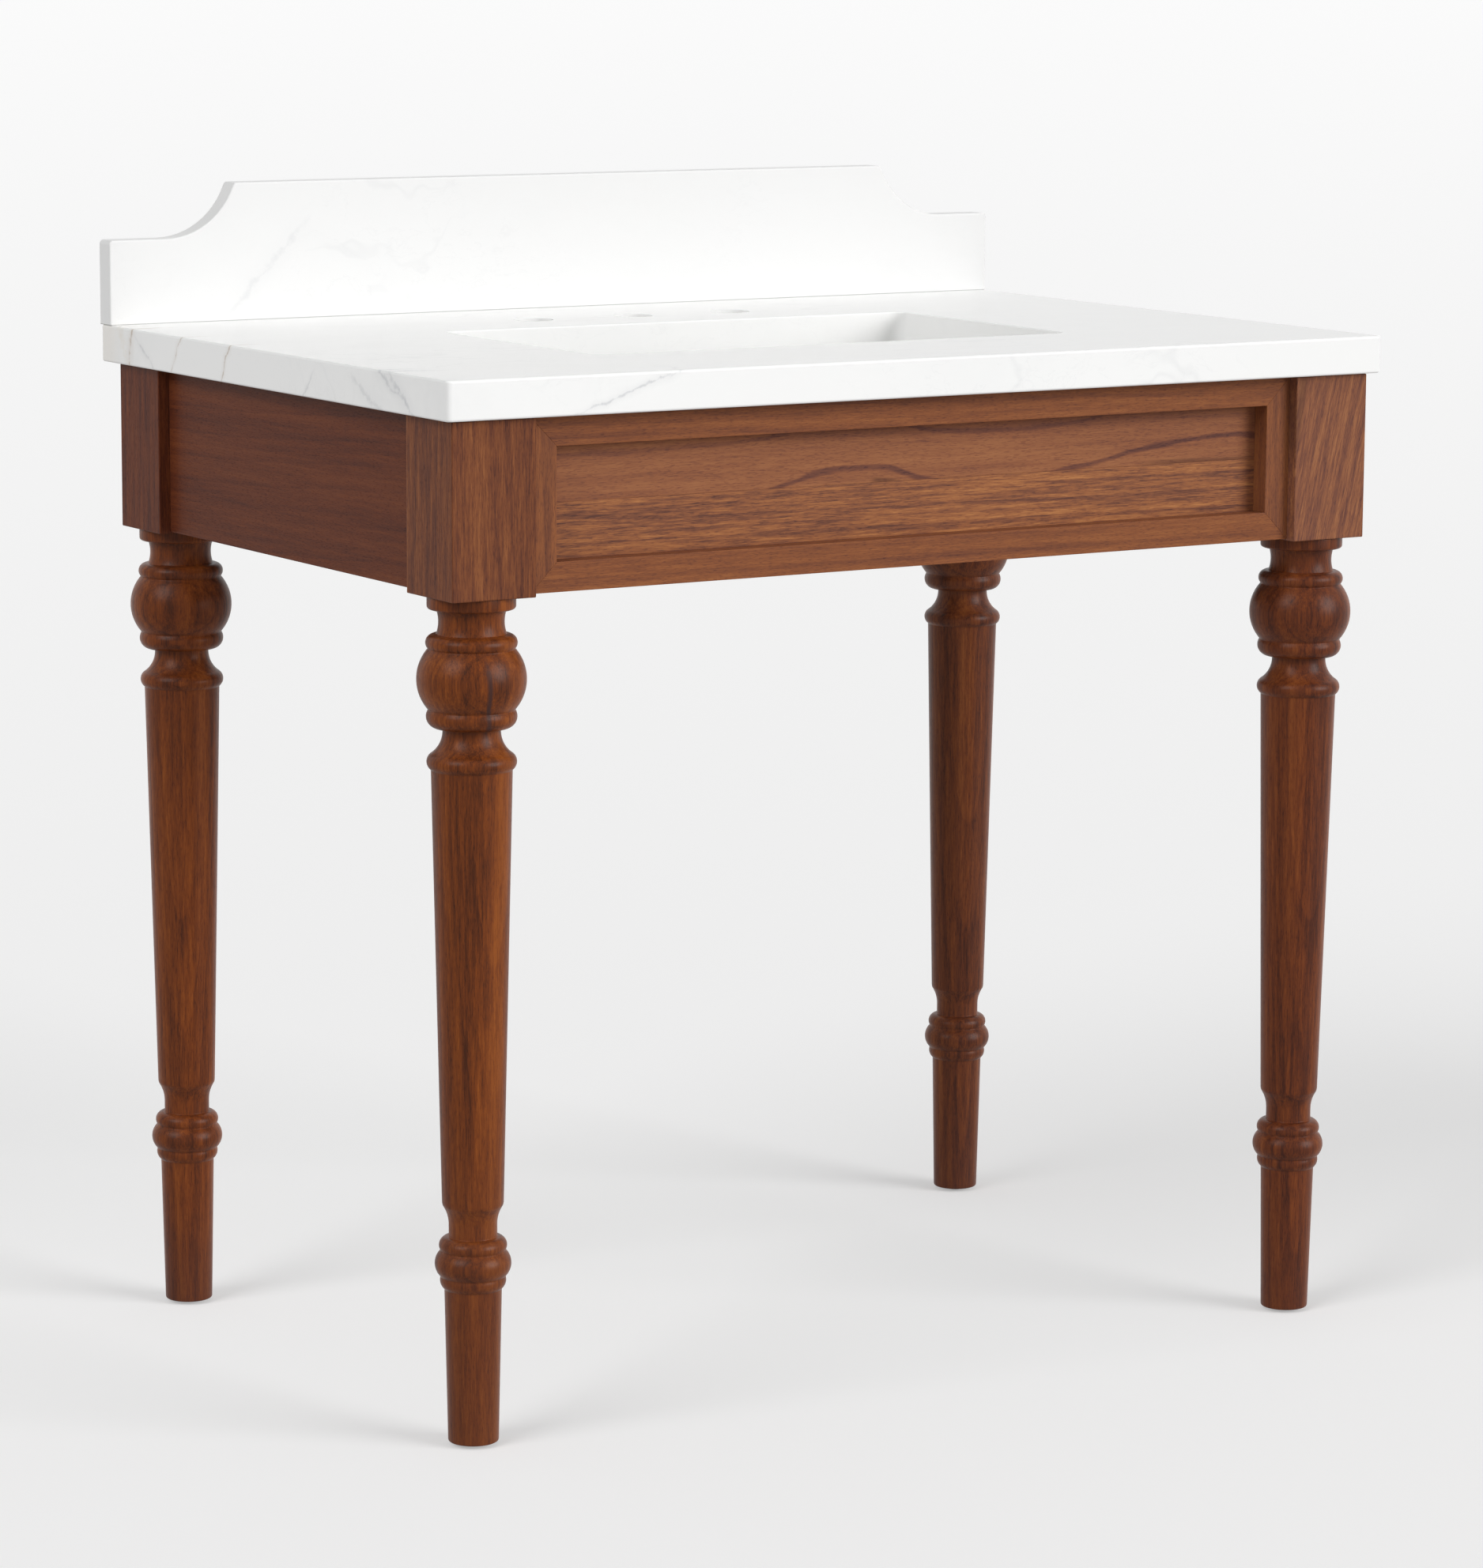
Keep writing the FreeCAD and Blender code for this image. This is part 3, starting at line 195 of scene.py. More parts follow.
def soft_outline(corners, ease, hold=HOLD):
    """Closed outlines through corners (..., n, 2), each corner rounded.

    With d0 and d1 pointing from a corner along its two sides, the corner becomes
    corner + d0 r (1 - sin a) + d1 r (1 - cos a) for a from 0 to a quarter turn. A held
    point stands on the side just past each end of that arc, so that flats shade flat.
    """
    back = np.roll(corners, 1, axis=-2) - corners
    ahead = np.roll(corners, -1, axis=-2) - corners
    back = (back / np.linalg.norm(back, axis=-1, keepdims=True))[..., None, :]
    ahead = (ahead / np.linalg.norm(ahead, axis=-1, keepdims=True))[..., None, :]
    turn = np.linspace(0, QUARTER, ARC_STEPS + 1)[:, None]
    ease = np.asarray(ease, float)[..., None, None, None]
    near = ease * (1 - np.sin(turn))
    far = ease * (1 - np.cos(turn))
    hold = ease + hold
    from_back = np.concatenate([hold, near, 0 * hold], axis=-2)
    from_ahead = np.concatenate([0 * hold, far, hold], axis=-2)
    points = corners[..., None, :] + back * from_back + ahead * from_ahead
    return points.reshape(*points.shape[:-3], -1, 2)


def shrink_outline(corners, amount):
    """Corners (n, 2) moved so that every side of an anticlockwise outline steps in by amount (rows)."""
    back = np.roll(corners, 1, axis=0) - corners
    ahead = np.roll(corners, -1, axis=0) - corners
    back /= np.linalg.norm(back, axis=1, keepdims=True)
    ahead /= np.linalg.norm(ahead, axis=1, keepdims=True)
    sine = ahead[:, 0] * back[:, 1] - ahead[:, 1] * back[:, 0]
    return corners + np.asarray(amount)[:, None, None] * ((back + ahead) / sine[:, None])


def end_rounding(low, high, ease, hold=HOLD):
    """Insets and heights of the rows of a prism whose end edges are quarter rounds of radius ease.

    A row at angle a of the round is inset by ease (1 - cos a) and lies ease (1 - sin a) in from its end.
    """
    turn = np.linspace(QUARTER, 0, ARC_STEPS + 1)
    inset = ease * (1 - np.cos(turn))
    lift = ease * (1 - np.sin(turn))
    flat = [0.0, 0.0]
    insets = np.concatenate([[ease + hold], inset, flat, inset[::-1], [ease + hold]])
    heights = np.concatenate([
        [low], low + lift, [low + ease + hold, high - ease - hold], (high - lift)[::-1], [high],
    ])
    return insets, heights


def stack(outlines, heights):
    """Outlines (rows, n, 2) lifted to their heights as one grid, closed round each row."""
    lift = np.broadcast_to(heights[:, None, None], (*outlines.shape[:2], 1))
    return np.concatenate([outlines, lift], axis=-1), False, True


def prism(corners, low, high, ease, side_ease=None, hold=HOLD):
    """A prism over an outline from low to high: its end edges rounded to ease, the others to side_ease."""
    insets, heights = end_rounding(low, high, ease, hold)
    side_eases = np.maximum((side_ease or ease) - insets, LEAST_EASE * ease)
    return stack(soft_outline(shrink_outline(corners, insets), side_eases, hold), heights)


def turned(grid, order):
    """The same grid with its local axes laid on the row axes that order names, such as yzx."""
    points, *wraps = grid
    return points[..., [order.index(axis) for axis in "xyz"]], *wraps


def placed(grid, place, turn=0.0):
    """The same grid turned about the upright axis, then moved to its place."""
    points, *wraps = grid
    x = place[0] + points[..., 0] * math.cos(turn) - points[..., 1] * math.sin(turn)
    y = place[1] + points[..., 0] * math.sin(turn) + points[..., 1] * math.cos(turn)
    return np.stack([x, y, place[2] + points[..., 2]], axis=-1), *wraps


def lathe(radii, heights, centre, sides, hollow=False):
    """A profile (radius, height) carried round an upright axis: x = cx + r cos t, y = cy + r sin t.

    A radius or height may differ round its row. A hollow one's last row joins its first.
    """
    turn = np.arange(sides) * (2 * math.pi / sides)
    radii = np.broadcast_to(radii.reshape(len(radii), -1), (len(radii), sides))
    heights = np.broadcast_to(heights.reshape(len(radii), -1), radii.shape)
    x = centre[0] + radii * np.cos(turn)
    y = centre[1] + radii * np.sin(turn)
    return np.stack([x, y, centre[2] + heights], axis=-1), hollow, True


def grid_faces(shape, wrap_rows, wrap_columns, first):
    """Quads between neighbouring points of a grid whose points are numbered from first."""
    rows, columns = shape
    row = np.arange(rows if wrap_rows else rows - 1)[:, None]
    column = np.arange(columns if wrap_columns else columns - 1)[None, :]
    row_next = (row + 1) % rows
    column_next = (column + 1) % columns
    ring = (
        row * columns + column, row * columns + column_next,
        row_next * columns + column_next, row_next * columns + column,
    )
    return first + np.stack(np.broadcast_arrays(*ring), axis=-1).reshape(-1, 4)


def make_piece(name, grids, finish, nodes, body="vanity"):
    """Join grids into one smooth mesh: doubles merged, open ends closed, faces turned outward."""
    flat = [points.reshape(-1, 3) for points, *_ in grids]
    starts = np.cumsum([0] + [len(points) for points in flat])
    faces = np.concatenate([
        grid_faces(points.shape[:2], *wraps, first)
        for (points, *wraps), first in zip(grids, starts)
    ])
    points = np.concatenate(flat)
    mesh = bpy.data.meshes.new(name)
    mesh.vertices.add(len(points))
    mesh.vertices.foreach_set("co", points.ravel())
    mesh.loops.add(faces.size)
    mesh.loops.foreach_set("vertex_index", faces.ravel())
    mesh.polygons.add(len(faces))
    mesh.polygons.foreach_set("loop_start", np.arange(0, faces.size, 4))
    mesh.update(calc_edges=True)
    shell = bmesh.new()
    shell.from_mesh(mesh)
    bmesh.ops.remove_doubles(shell, verts=shell.verts, dist=MERGE)
    open_edges = [edge for edge in shell.edges if edge.is_boundary]
    bmesh.ops.holes_fill(shell, edges=open_edges, sides=0)
    bmesh.ops.recalc_face_normals(shell, faces=shell.faces)
    shell.to_mesh(mesh)
    shell.free()
    mesh.shade_smooth()
    mesh.set_sharp_from_angle(angle=CREASE)
    mesh.materials.append(finish)
    piece = bpy.data.objects.new(name, mesh)
    bpy.context.scene.collection.objects.link(piece)
    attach(piece, body)
    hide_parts(*nodes)


# Shader building


# The share of a mark's reach over which it keeps its full strength
MARK_CORE = 0.35


class Wire:
    """A node's output that takes part in sums; each operator adds its Math node."""

    def __init__(self, board, socket):
        self.board = board
        self.socket = socket

    def math(self, operation, *others):
        return self.board.math(operation, self, *others)

    def __add__(self, other):
        return self.math("ADD", other)

    __radd__ = __add__

    def __mul__(self, other):
        return self.math("MULTIPLY", other)

    __rmul__ = __mul__

    def __sub__(self, other):
        return self.math("SUBTRACT", other)

    def __rsub__(self, other):
        return self.board.math("SUBTRACT", other, self)

    def __truediv__(self, other):
        return self.math("DIVIDE", other)

    def __rtruediv__(self, other):
        return self.board.math("DIVIDE", other, self)

    def __abs__(self):
        return self.math("ABSOLUTE")

    def rise(self, low, high):
        """0 below low and 1 above high, with a smooth step between; low above high turns it round."""
        limits = {0: self, 1: low, 2: high}
        return self.board.add("ShaderNodeMapRange", {"interpolation_type": "SMOOTHSTEP"}, limits)


class Board:
    """The node tree of one finish, and the one way that nodes get into it."""

    def __init__(self, name, owner=None):
        self.owner = owner or bpy.data.materials.new(name)
        self.owner.use_nodes = True
        self.tree = self.owner.node_tree
        self.tree.nodes.clear()

    def add(self, kind, settings=None, values=None, output=0):
        node = self.tree.nodes.new(kind)
        for key, value in (settings or {}).items():
            setattr(node, key, value)
        for key, value in (values or {}).items():
            if isinstance(value, Wire):
                self.tree.links.new(value.socket, node.inputs[key])
            else:
                node.inputs[key].default_value = value
        return Wire(self, node.outputs[output]) if len(node.outputs) else node

    def ramp(self, stops, value):
        """The colour that a value has on a ramp; stops are (position, colour)."""
        wire = self.add("ShaderNodeValToRGB", values={0: value})
        elements = wire.socket.node.color_ramp.elements
        while len(elements) < len(stops):
            elements.new(1.0)
        for element, (position, colour) in zip(elements, stops):
            element.position = position
            element.color = (*colour, 1.0)
        return wire

    def place(self):
        """The point on the piece, in metres of the row frame."""
        return self.add("ShaderNodeTexCoord", output="Object")

    def split(self, vector):
        """The three parts of a vector."""
        first = self.add("ShaderNodeSeparateXYZ", values={0: vector})
        return [Wire(self, socket) for socket in first.socket.node.outputs]

    def math(self, operation, *values):
        return self.add("ShaderNodeMath", {"operation": operation}, dict(enumerate(values)))

    def vector(self, operation, *values, output=0):
        """A sum on vectors."""
        return self.add("ShaderNodeVectorMath", {"operation": operation}, dict(enumerate(values)), output)

    def noise(self, vector, detail, roughness, scale=1.0, output=0):
        values = {"Vector": vector, "Scale": scale, "Detail": detail, "Roughness": roughness}
        return self.add("ShaderNodeTexNoise", values=values, output=output)

    def grain_noise(self, parts, along_scale, across_scale, detail, roughness=0.5):
        """Noise drawn out along the grain, from the distances along it and in the two other ways."""
        along, across, deep = parts
        scaled = {0: along * along_scale, 1: across * across_scale, 2: deep * across_scale}
        return self.noise(self.add("ShaderNodeCombineXYZ", values=scaled), detail, roughness)

    def blend(self, amount, one, two):
        """Two colours mixed by an amount."""
        one, two = (colour if isinstance(colour, Wire) else (*colour, 1.0) for colour in (one, two))
        return self.add("ShaderNodeMix", {"data_type": "RGBA"}, {0: amount, 6: one, 7: two}, 2)

    def seen(self):
        """1 for a ray that reaches the camera straight, mirrored or through something, else 0."""
        first = self.add("ShaderNodeLightPath", output="Is Camera Ray")
        outputs = first.socket.node.outputs
        mirrored = first.math("MAXIMUM", Wire(self, outputs["Is Glossy Ray"]))
        return mirrored.math("MAXIMUM", Wire(self, outputs["Is Transmission Ray"]))

    def mark(self, place, wobble, centre, across, reach):
        """How far a point lies beside a plane through centre, and how near it is to centre, 0 to 1."""
        away = self.vector("SUBTRACT", place, centre)
        beside = self.vector("DOT_PRODUCT", away, across, output="Value")
        far = self.vector("LENGTH", away, output="Value")
        return abs(beside + wobble), far.rise(reach, reach * MARK_CORE)

    def bump(self, height, strength, distance):
        values = {"Height": height, "Strength": strength, "Distance": distance}
        return self.add("ShaderNodeBump", values=values)

    def finish(self, **values):
        """Close the board with a Principled shader; underscores in names stand for spaces."""
        named = {key.replace("_", " "): value for key, value in values.items()}
        shader = self.add("ShaderNodeBsdfPrincipled", values=named)
        self.add("ShaderNodeOutputMaterial", values={0: shader})
        return self.owner


# Finishes


GRAIN_ORDER = {"x": (0, 2, 1), "y": (1, 2, 0), "z": (2, 0, 1)}
WALNUT_TONES = (
    (0.14, (0.075, 0.026, 0.017)), (0.36, (0.142, 0.045, 0.022)),
    (0.56, (0.215, 0.067, 0.025)), (0.86, (0.325, 0.112, 0.036)),
)
WALNUT_LEVEL = 0.56
# Walnut's figure, each noise as (scale along the grain, scale across it, detail, roughness)
WANDER_NOISE = (1.8, 7, 1.0)
RIPPLE_NOISE = (9, 45, 2.0)
BROAD_NOISE = (1.5, 26, 1.0)
BAND_NOISE = (3.2, 120, 2.0)
STREAK_NOISE = (22, 420, 2.0, 0.6)
FIBRE_NOISE = (70, 1100, 1.0)
PORE_NOISE = (210, 1900, 0.0)
PORE_EDGE = (0.56, 0.72)
WANDER = 16 * MM
RIPPLE = 0.35
# How far each part of the figure moves the tone
BROAD_DEPTH = 0.42
BAND_DEPTH = 0.34
STREAK_DEPTH = 0.46
FIBRE_DEPTH = 0.36
PORE_DEPTH = 0.16
# Where in a ring's width its dark part is full, and the least of its strength
RING_FULL = (0.92, 0.95)
RING_LEAST = 0.3
PORE_DULLING = 0.10
FIBRE_DULLING = 0.08
FIBRE_HEIGHT = 0.4

STAIN_CORE = 0.2
# The tone of the dark stains, and of the painted shade that darkens the legs towards the floor
STAIN_AND_SHADE_TONE = (0.050, 0.022, 0.019)
STAIN_WANDER = 7 * MM
# Dark stains in the wood: (point, direction across, half width, reach, strength)
BALL_STAINS = (((-0.4165, -0.3077, 0.606), (0.988, -0.157, 0.06), 0.0030, 0.048, 0.90),)
EDGE_STAINS = (((0.3760, -0.3020, 0.800), (0.97, 0.0, -0.12), 0.0070, 0.060, 0.45),)
CORE_STAINS = (
    ((-0.029, -0.275, 0.7615), (0.10, 0.0, 0.99), 0.0030, 0.018, 0.50),
    ((0.295, -0.275, 0.7605), (0.02, 0.0, 1.00), 0.0045, 0.080, 0.45),
)
# Swirls of the upper board's grain: (place along it, half length, height)
UPPER_SWIRLS = ((-0.060, 0.060, 0.020), (0.300, 0.100, 0.029))

# How each piece is cut from its log, in make_walnut's words, and the painted shade that some carry; corners
# in the order of CORNERS
POST_HEART = (0.085, 0.11, 0.7)
POST_HEART_STEP = 0.02
POST_RING = 0.0075
POST_CUTS = (
    {"tint": (0.85, 0.91, 1.06), "lean": (0.03, 0.03), "contrast": 0.9, "grit": 1.6},
    {
        "tint": (1.17, 1.46, 2.00), "lean": (0.02, 0.03), "contrast": 0.55, "grit": 1.5,
        "slant": -0.21, "stains": EDGE_STAINS,
    },
    {"tint": (0.61, 0.53, 0.59), "lean": (0.05, 0.02)},
    {"tint": (0.80, 0.84, 0.95), "lean": (0.04, -0.03)},
)
LEG_HEARTS = ((-0.010, 0.058), (0.004, 0.060), (0.030, 0.050), (0.012, 0.058))
LEG_HEART_HEIGHT = 0.4
LEG_CUT = {
    "spacing": 0.0048, "lean": (0.01, -0.01), "contrast": 2.1, "grit": 1.4, "rings": 0.11,
    "sheen": 0.12, "gloss": 0.32,
}
# Each leg's foot entry paints shade: (height where it starts, strength), darker towards the floor
LEG_CUTS = (
    {"tint": (0.79, 0.63, 0.365), "foot": (0.34, 0.36), "stains": BALL_STAINS},
    {"tint": (0.68, 0.555, 0.465), "foot": (0.13, 0.24)},
    {"tint": (0.73, 0.58, 0.38), "foot": (0.12, 0.44)},
    {"tint": (0.69, 0.615, 0.56), "foot": (0.13, 0.34)},
)
SIDE_HEART = (0.36, 0.0, 0.90)
# Painted shade: the side aprons' tint is darker than the front's partly because their faces look away from
# the light
SIDE_CUT = {
    "spacing": 0.0085, "tint": (0.57, 0.48, 0.52), "lean": (0.05, 0.02), "contrast": 1.0,
    "grit": 0.7, "rings": 0.08,
}
BACK_CUT = {
    "heart": (0.0, 0.19, 0.70), "spacing": 0.0085, "tint": (0.80, 0.82, 0.90), "lean": (0.03, 0.02),
}
UPPER_CUT = {
    "heart": (0.0, -0.30, 0.7222), "spacing": 0.0409, "tint": (1.23, 1.50, 1.98),
    "lean": (0.0, 0.0), "contrast": 0.9, "grit": 0.6, "rings": 0.36, "late": 0.86,
    "swirls": UPPER_SWIRLS, "stains": CORE_STAINS,
}
LOWER_CUT = {
    "heart": (0.0, -0.20, 0.66), "spacing": 0.0055, "tint": (1.46, 1.80, 2.06),
    "lean": (0.02, 0.01), "grit": 1.8,
}
MEMBER_CUT = {"spacing": 0.0080, "contrast": 1.0, "grit": 0.8, "rings": 0.08}
RAIL_TINT = (1.13, 1.27, 1.42)
STILE_TINT = (1.25, 1.44, 1.58)
# The front frame's members: (grain, heart, tint, lean)
MEMBERS = {
    "front_rail_top": ("x", (0.0, -0.21, 0.90), RAIL_TINT, (0.02, 0.01)),
    "front_rail_bottom": ("x", (0.1, -0.22, 0.65), RAIL_TINT, (0.015, 0.01)),
    "front_stile_left": ("z", (-0.30, -0.20, 0.76), STILE_TINT, (0.03, 0.01)),
    "front_stile_right": ("z", (0.42, -0.21, 0.76), STILE_TINT, (0.03, 0.01)),
}


def make_walnut(
    name, grain, heart, spacing, tint, lean, contrast=1.3, grit=1.4, rings=0.16, late=0.25,
    swirls=(), stains=(), sheen=0.06, gloss=0.38, slant=0.0, foot=None,
):
    """Lacquered walnut cut from a solid log: rings about a heart line that runs with the grain.

    heart is a point on that line, spacing the ring width, lean the line's slope in its
    two cross directions, and slant the slope of the whole grain. contrast is the strength
    of the broad bands, grit that of the fine streaks, rings that of the year lines, and
    late the share of a ring's width at which its dark part starts. foot is the height at
    which a painted shade starts to darken the wood towards the floor, and how strong that
    painted shade gets there.
    """
    board = Board(name)
    spot = board.place()
    parts = board.split(board.vector("SUBTRACT", spot, heart))
    along, across, deep = (parts[index] for index in GRAIN_ORDER[grain])
    across = across + along * slant
    parts = along, across, deep
    wander = (board.grain_noise(parts, *WANDER_NOISE) - 0.5) * WANDER
    from_heart = across + along * lean[0] + wander
    for place, half, height in swirls:
        share = (along - place) / half
        from_heart = from_heart - height / (1 + share * share * share * share)
    behind = deep + along * lean[1] + wander
    radius = (from_heart * from_heart + behind * behind).math("SQRT")
    turns = radius / spacing + (board.grain_noise(parts, *RIPPLE_NOISE) - 0.5) * RIPPLE
    ring = turns.math("FRACT")
    dark = ring.rise(late, RING_FULL[0]) * ring.rise(1.0, RING_FULL[1])
    year = board.add("ShaderNodeTexWhiteNoise", {"noise_dimensions": "1D"}, {"W": turns.math("FLOOR")})
    broad = board.grain_noise(parts, *BROAD_NOISE) - 0.5
    bands = board.grain_noise(parts, *BAND_NOISE) - 0.5
    streaks = board.grain_noise(parts, *STREAK_NOISE) - 0.5
    fibres = board.grain_noise(parts, *FIBRE_NOISE)
    pores = board.grain_noise(parts, *PORE_NOISE).rise(*PORE_EDGE)
    depth = (
        WALNUT_LEVEL + broad * (BROAD_DEPTH * contrast) + bands * (BAND_DEPTH * contrast)
        + streaks * (STREAK_DEPTH * grit) + (fibres - 0.5) * (FIBRE_DEPTH * grit)
        - pores * PORE_DEPTH - dark * (year + RING_LEAST) * rings
    )
    stops = [(place, tuple(np.multiply(colour, tint))) for place, colour in WALNUT_TONES]
    colour = board.ramp(stops, depth)
    for centre, across_it, half, reach, strength in stains:
        beside, near = board.mark(spot, bands * STAIN_WANDER, centre, across_it, reach)
        stain = beside.rise(half, half * STAIN_CORE) * near * strength
        colour = board.blend(stain, colour, STAIN_AND_SHADE_TONE)
    # Painted shade: below the foot height the wood darkens towards the floor, in the stains' tone
    if foot:
        start, strength = foot
        colour = board.blend(board.split(spot)[2].rise(start, 0.0) * strength, colour, STAIN_AND_SHADE_TONE)
    shine = gloss + pores * PORE_DULLING + (fibres - 0.5) * FIBRE_DULLING
    relief = board.bump(fibres * FIBRE_HEIGHT - pores, strength=0.22, distance=0.08 * MM)
    return board.finish(Base_Color=colour, Roughness=shine, Normal=relief, Specular_IOR_Level=sheen)


SLAB_WHITE = (0.905, 0.905, 0.897)
# Painted shade: the backsplash is the slab's marble, made darker because its face catches more light than
# the deck
SPLASH_SHADED_WHITE = (0.820, 0.820, 0.816)
CLOUD_SHADE = (0.92, 0.925, 0.93)
VEIN_GREY = (0.52, 0.53, 0.55)
VEIN_BROWN = (0.50, 0.40, 0.32)
VEIN_WARM = (0.80, 0.74, 0.66)
# Veins seen on the slab: (point, direction across the vein, half width, reach, strength, colour)
NAMED_VEINS = (
    ((-0.457, 0.253, 0.848), (0.0, 0.98, 0.22), 0.0022, 0.050, 0.85, VEIN_BROWN),
    ((-0.457, 0.265, 0.846), (0.0, 0.88, -0.40), 0.0060, 0.045, 0.45, VEIN_WARM),
    ((-0.457, 0.222, 0.844), (0.0, 0.55, -0.83), 0.0016, 0.032, 0.45, VEIN_GREY),
    ((-0.457, 0.160, 0.854), (0.0, 0.85, 0.53), 0.0011, 0.040, 0.55, VEIN_BROWN),
    ((-0.457, 0.068, 0.854), (0.0, 0.89, 0.46), 0.0012, 0.038, 0.75, VEIN_BROWN),
    ((-0.457, -0.075, 0.839), (0.0, 0.75, 0.66), 0.0012, 0.030, 0.35, VEIN_GREY),
    ((-0.457, -0.180, 0.842), (0.0, 0.39, -0.92), 0.0030, 0.040, 0.40, VEIN_GREY),
    ((-0.457, -0.212, 0.857), (0.05, 0.48, -0.88), 0.0018, 0.042, 0.55, VEIN_GREY),
    ((-0.457, -0.234, 0.848), (0.10, 0.63, -0.78), 0.0028, 0.058, 0.60, VEIN_GREY),
    ((-0.290, -0.311, 0.850), (-0.30, 0.10, 0.95), 0.0013, 0.075, 0.60, VEIN_GREY),
    ((-0.306, 0.291, 0.909), (-0.72, 0.0, 0.69), 0.0034, 0.072, 0.24, VEIN_GREY),
)
# Soft veins all over: (their noise's detail, roughness and scale, width, patches' edge, strength)
SOFT_VEINS = (
    (3.0, 0.5, 4.5, 0.022, (0.52, 0.70), 0.13),
    (5.0, 0.62, 13.0, 0.012, (0.46, 0.62), 0.07),
)
VEIN_WARP = 0.16
VEIN_TURN = (0.3, 0.7, 0.4)
VEIN_STRETCH = (1.0, 2.4, 2.4)
CLOUD_EDGE = (0.50, 0.78)
CLOUDINESS = 0.30
CLOUD_DULLING = 0.06
# The slab's cloudier left end, and the warm patch in its back corner: (from, to) of each fade
LEFT_END = (-0.41, -0.456)
LEFT_CLOUDINESS = 0.6
WARM_BACK = (0.268, 0.296)
WARM_BELOW = (0.866, 0.862)
WARMTH = 0.40
# A named vein's halo and line: widths, in half widths, and levels; mottle adds each second value
HALO_WIDTH = 5
HALO_LEVEL = 0.20
LINE_WIDTH = (0.35, 1.3)
LINE_LEVEL = (0.3, 0.7)
MOTTLE_EDGE = (0.28, 0.66)
EDGE_WANDER = 13 * MM
# The thin line of sealant under the backsplash
JOINT_FOOT = 0.86405
JOINT_TOP = 0.8646
JOINT_GREY = (0.45, 0.45, 0.44)


def make_marble(name, white, gloss, sheen):
    """Polished white marble: soft clouds, faint warped veins, and the few that the slab shows."""
    board = Board(name)
    place = board.place()
    warp = board.noise(place, detail=4.0, roughness=0.55, scale=5.0, output="Color")
    shift = board.vector("SUBTRACT", warp, (0.5, 0.5, 0.5))
    carried = board.vector("MULTIPLY_ADD", shift, (VEIN_WARP,) * 3, place)
    drawn_out = {"Vector": carried, "Rotation": VEIN_TURN, "Scale": VEIN_STRETCH}
    slanted = board.add("ShaderNodeMapping", values=drawn_out)
    clouds = board.noise(slanted, detail=5.0, roughness=0.6, scale=3.2)
    x, y, z = board.split(place)
    left_end = x.rise(*LEFT_END)
    cloudy = tuple(np.multiply(white, CLOUD_SHADE))
    amount = clouds.rise(*CLOUD_EDGE) * (CLOUDINESS + left_end * LEFT_CLOUDINESS)
    colour = board.blend(amount, white, cloudy)
    warm = left_end * y.rise(*WARM_BACK) * z.rise(*WARM_BELOW) * WARMTH
    colour = board.blend(warm, colour, VEIN_WARM)
    patches = board.noise(place, detail=2.0, roughness=0.5, scale=4.0)
    for detail, roughness, scale, width, edge, strength in SOFT_VEINS:
        ridge = abs(board.noise(slanted, detail, roughness, scale) - 0.5)
        amount = ridge.rise(width, 0.0) * patches.rise(*edge) * strength
        colour = board.blend(amount, colour, VEIN_GREY)
    rough_edge = (board.noise(place, detail=4.0, roughness=0.6, scale=42.0) - 0.5) * EDGE_WANDER
    mottle = board.noise(place, detail=3.0, roughness=0.6, scale=130.0).rise(*MOTTLE_EDGE)
    for centre, across, half, reach, strength, tint in NAMED_VEINS:
        beside, near = board.mark(place, rough_edge, centre, across, reach)
        halo = beside.rise(half * HALO_WIDTH, 0.0) * near * (strength * HALO_LEVEL)
        colour = board.blend(halo, colour, tint)
        line = beside.rise(half * (LINE_WIDTH[0] + mottle * LINE_WIDTH[1]), 0.0) * near
        level = (mottle * LINE_LEVEL[1] + LINE_LEVEL[0]) * strength
        colour = board.blend(line * level, colour, tint)
    above_deck = z.math("GREATER_THAN", JOINT_FOOT)
    colour = board.blend(above_deck * z.math("LESS_THAN", JOINT_TOP), colour, JOINT_GREY)
    shine = gloss + (clouds - 0.5) * CLOUD_DULLING
    return board.finish(Base_Color=colour, Roughness=shine, Specular_IOR_Level=sheen)


def make_glaze():
    """Gloss white glaze with the faint unevenness of a fired surface."""
    board = Board("basin_glaze")
    place = board.place()
    tint = board.noise(place, detail=3.0, roughness=0.5, scale=9.0)
    colour = board.blend(tint, (0.85, 0.85, 0.83), (0.82, 0.825, 0.81))
    ripple = board.noise(place, detail=2.0, roughness=0.5, scale=140.0)
    skin = board.bump(ripple, strength=0.10, distance=0.10 * MM)
    return board.finish(
        Base_Color=colour, Roughness=0.07 + tint * 0.05, Normal=skin, Coat_Weight=0.6, Coat_Roughness=0.04,
    )


BEECH_TONES = ((0.2, (0.40, 0.25, 0.14)), (0.5, (0.56, 0.39, 0.24)), (0.8, (0.66, 0.49, 0.32)))
BEECH_STREAK_NOISE = (5, 140, 3.0, 0.6)
BEECH_FLECK_NOISE = (150, 900, 0.0)
BEECH_FLECK_EDGE = (0.60, 0.72)
BEECH_STREAK_DEPTH = 0.9
BEECH_FLECK_DEPTH = 0.22


def make_beech(name, grain):
    """Bare beech: pale, straight grained, with short darker flecks."""
    board = Board(name)
    parts = board.split(board.place())
    parts = [parts[index] for index in GRAIN_ORDER[grain]]
    streaks = board.grain_noise(parts, *BEECH_STREAK_NOISE)
    flecks = board.grain_noise(parts, *BEECH_FLECK_NOISE).rise(*BEECH_FLECK_EDGE)
    depth = 0.5 + (streaks - 0.5) * BEECH_STREAK_DEPTH - flecks * BEECH_FLECK_DEPTH
    colour = board.ramp(BEECH_TONES, depth)
    relief = board.bump(streaks - flecks, strength=0.3, distance=0.15 * MM)
    return board.finish(Base_Color=colour, Roughness=0.62 + (streaks - 0.5) * 0.15, Normal=relief)


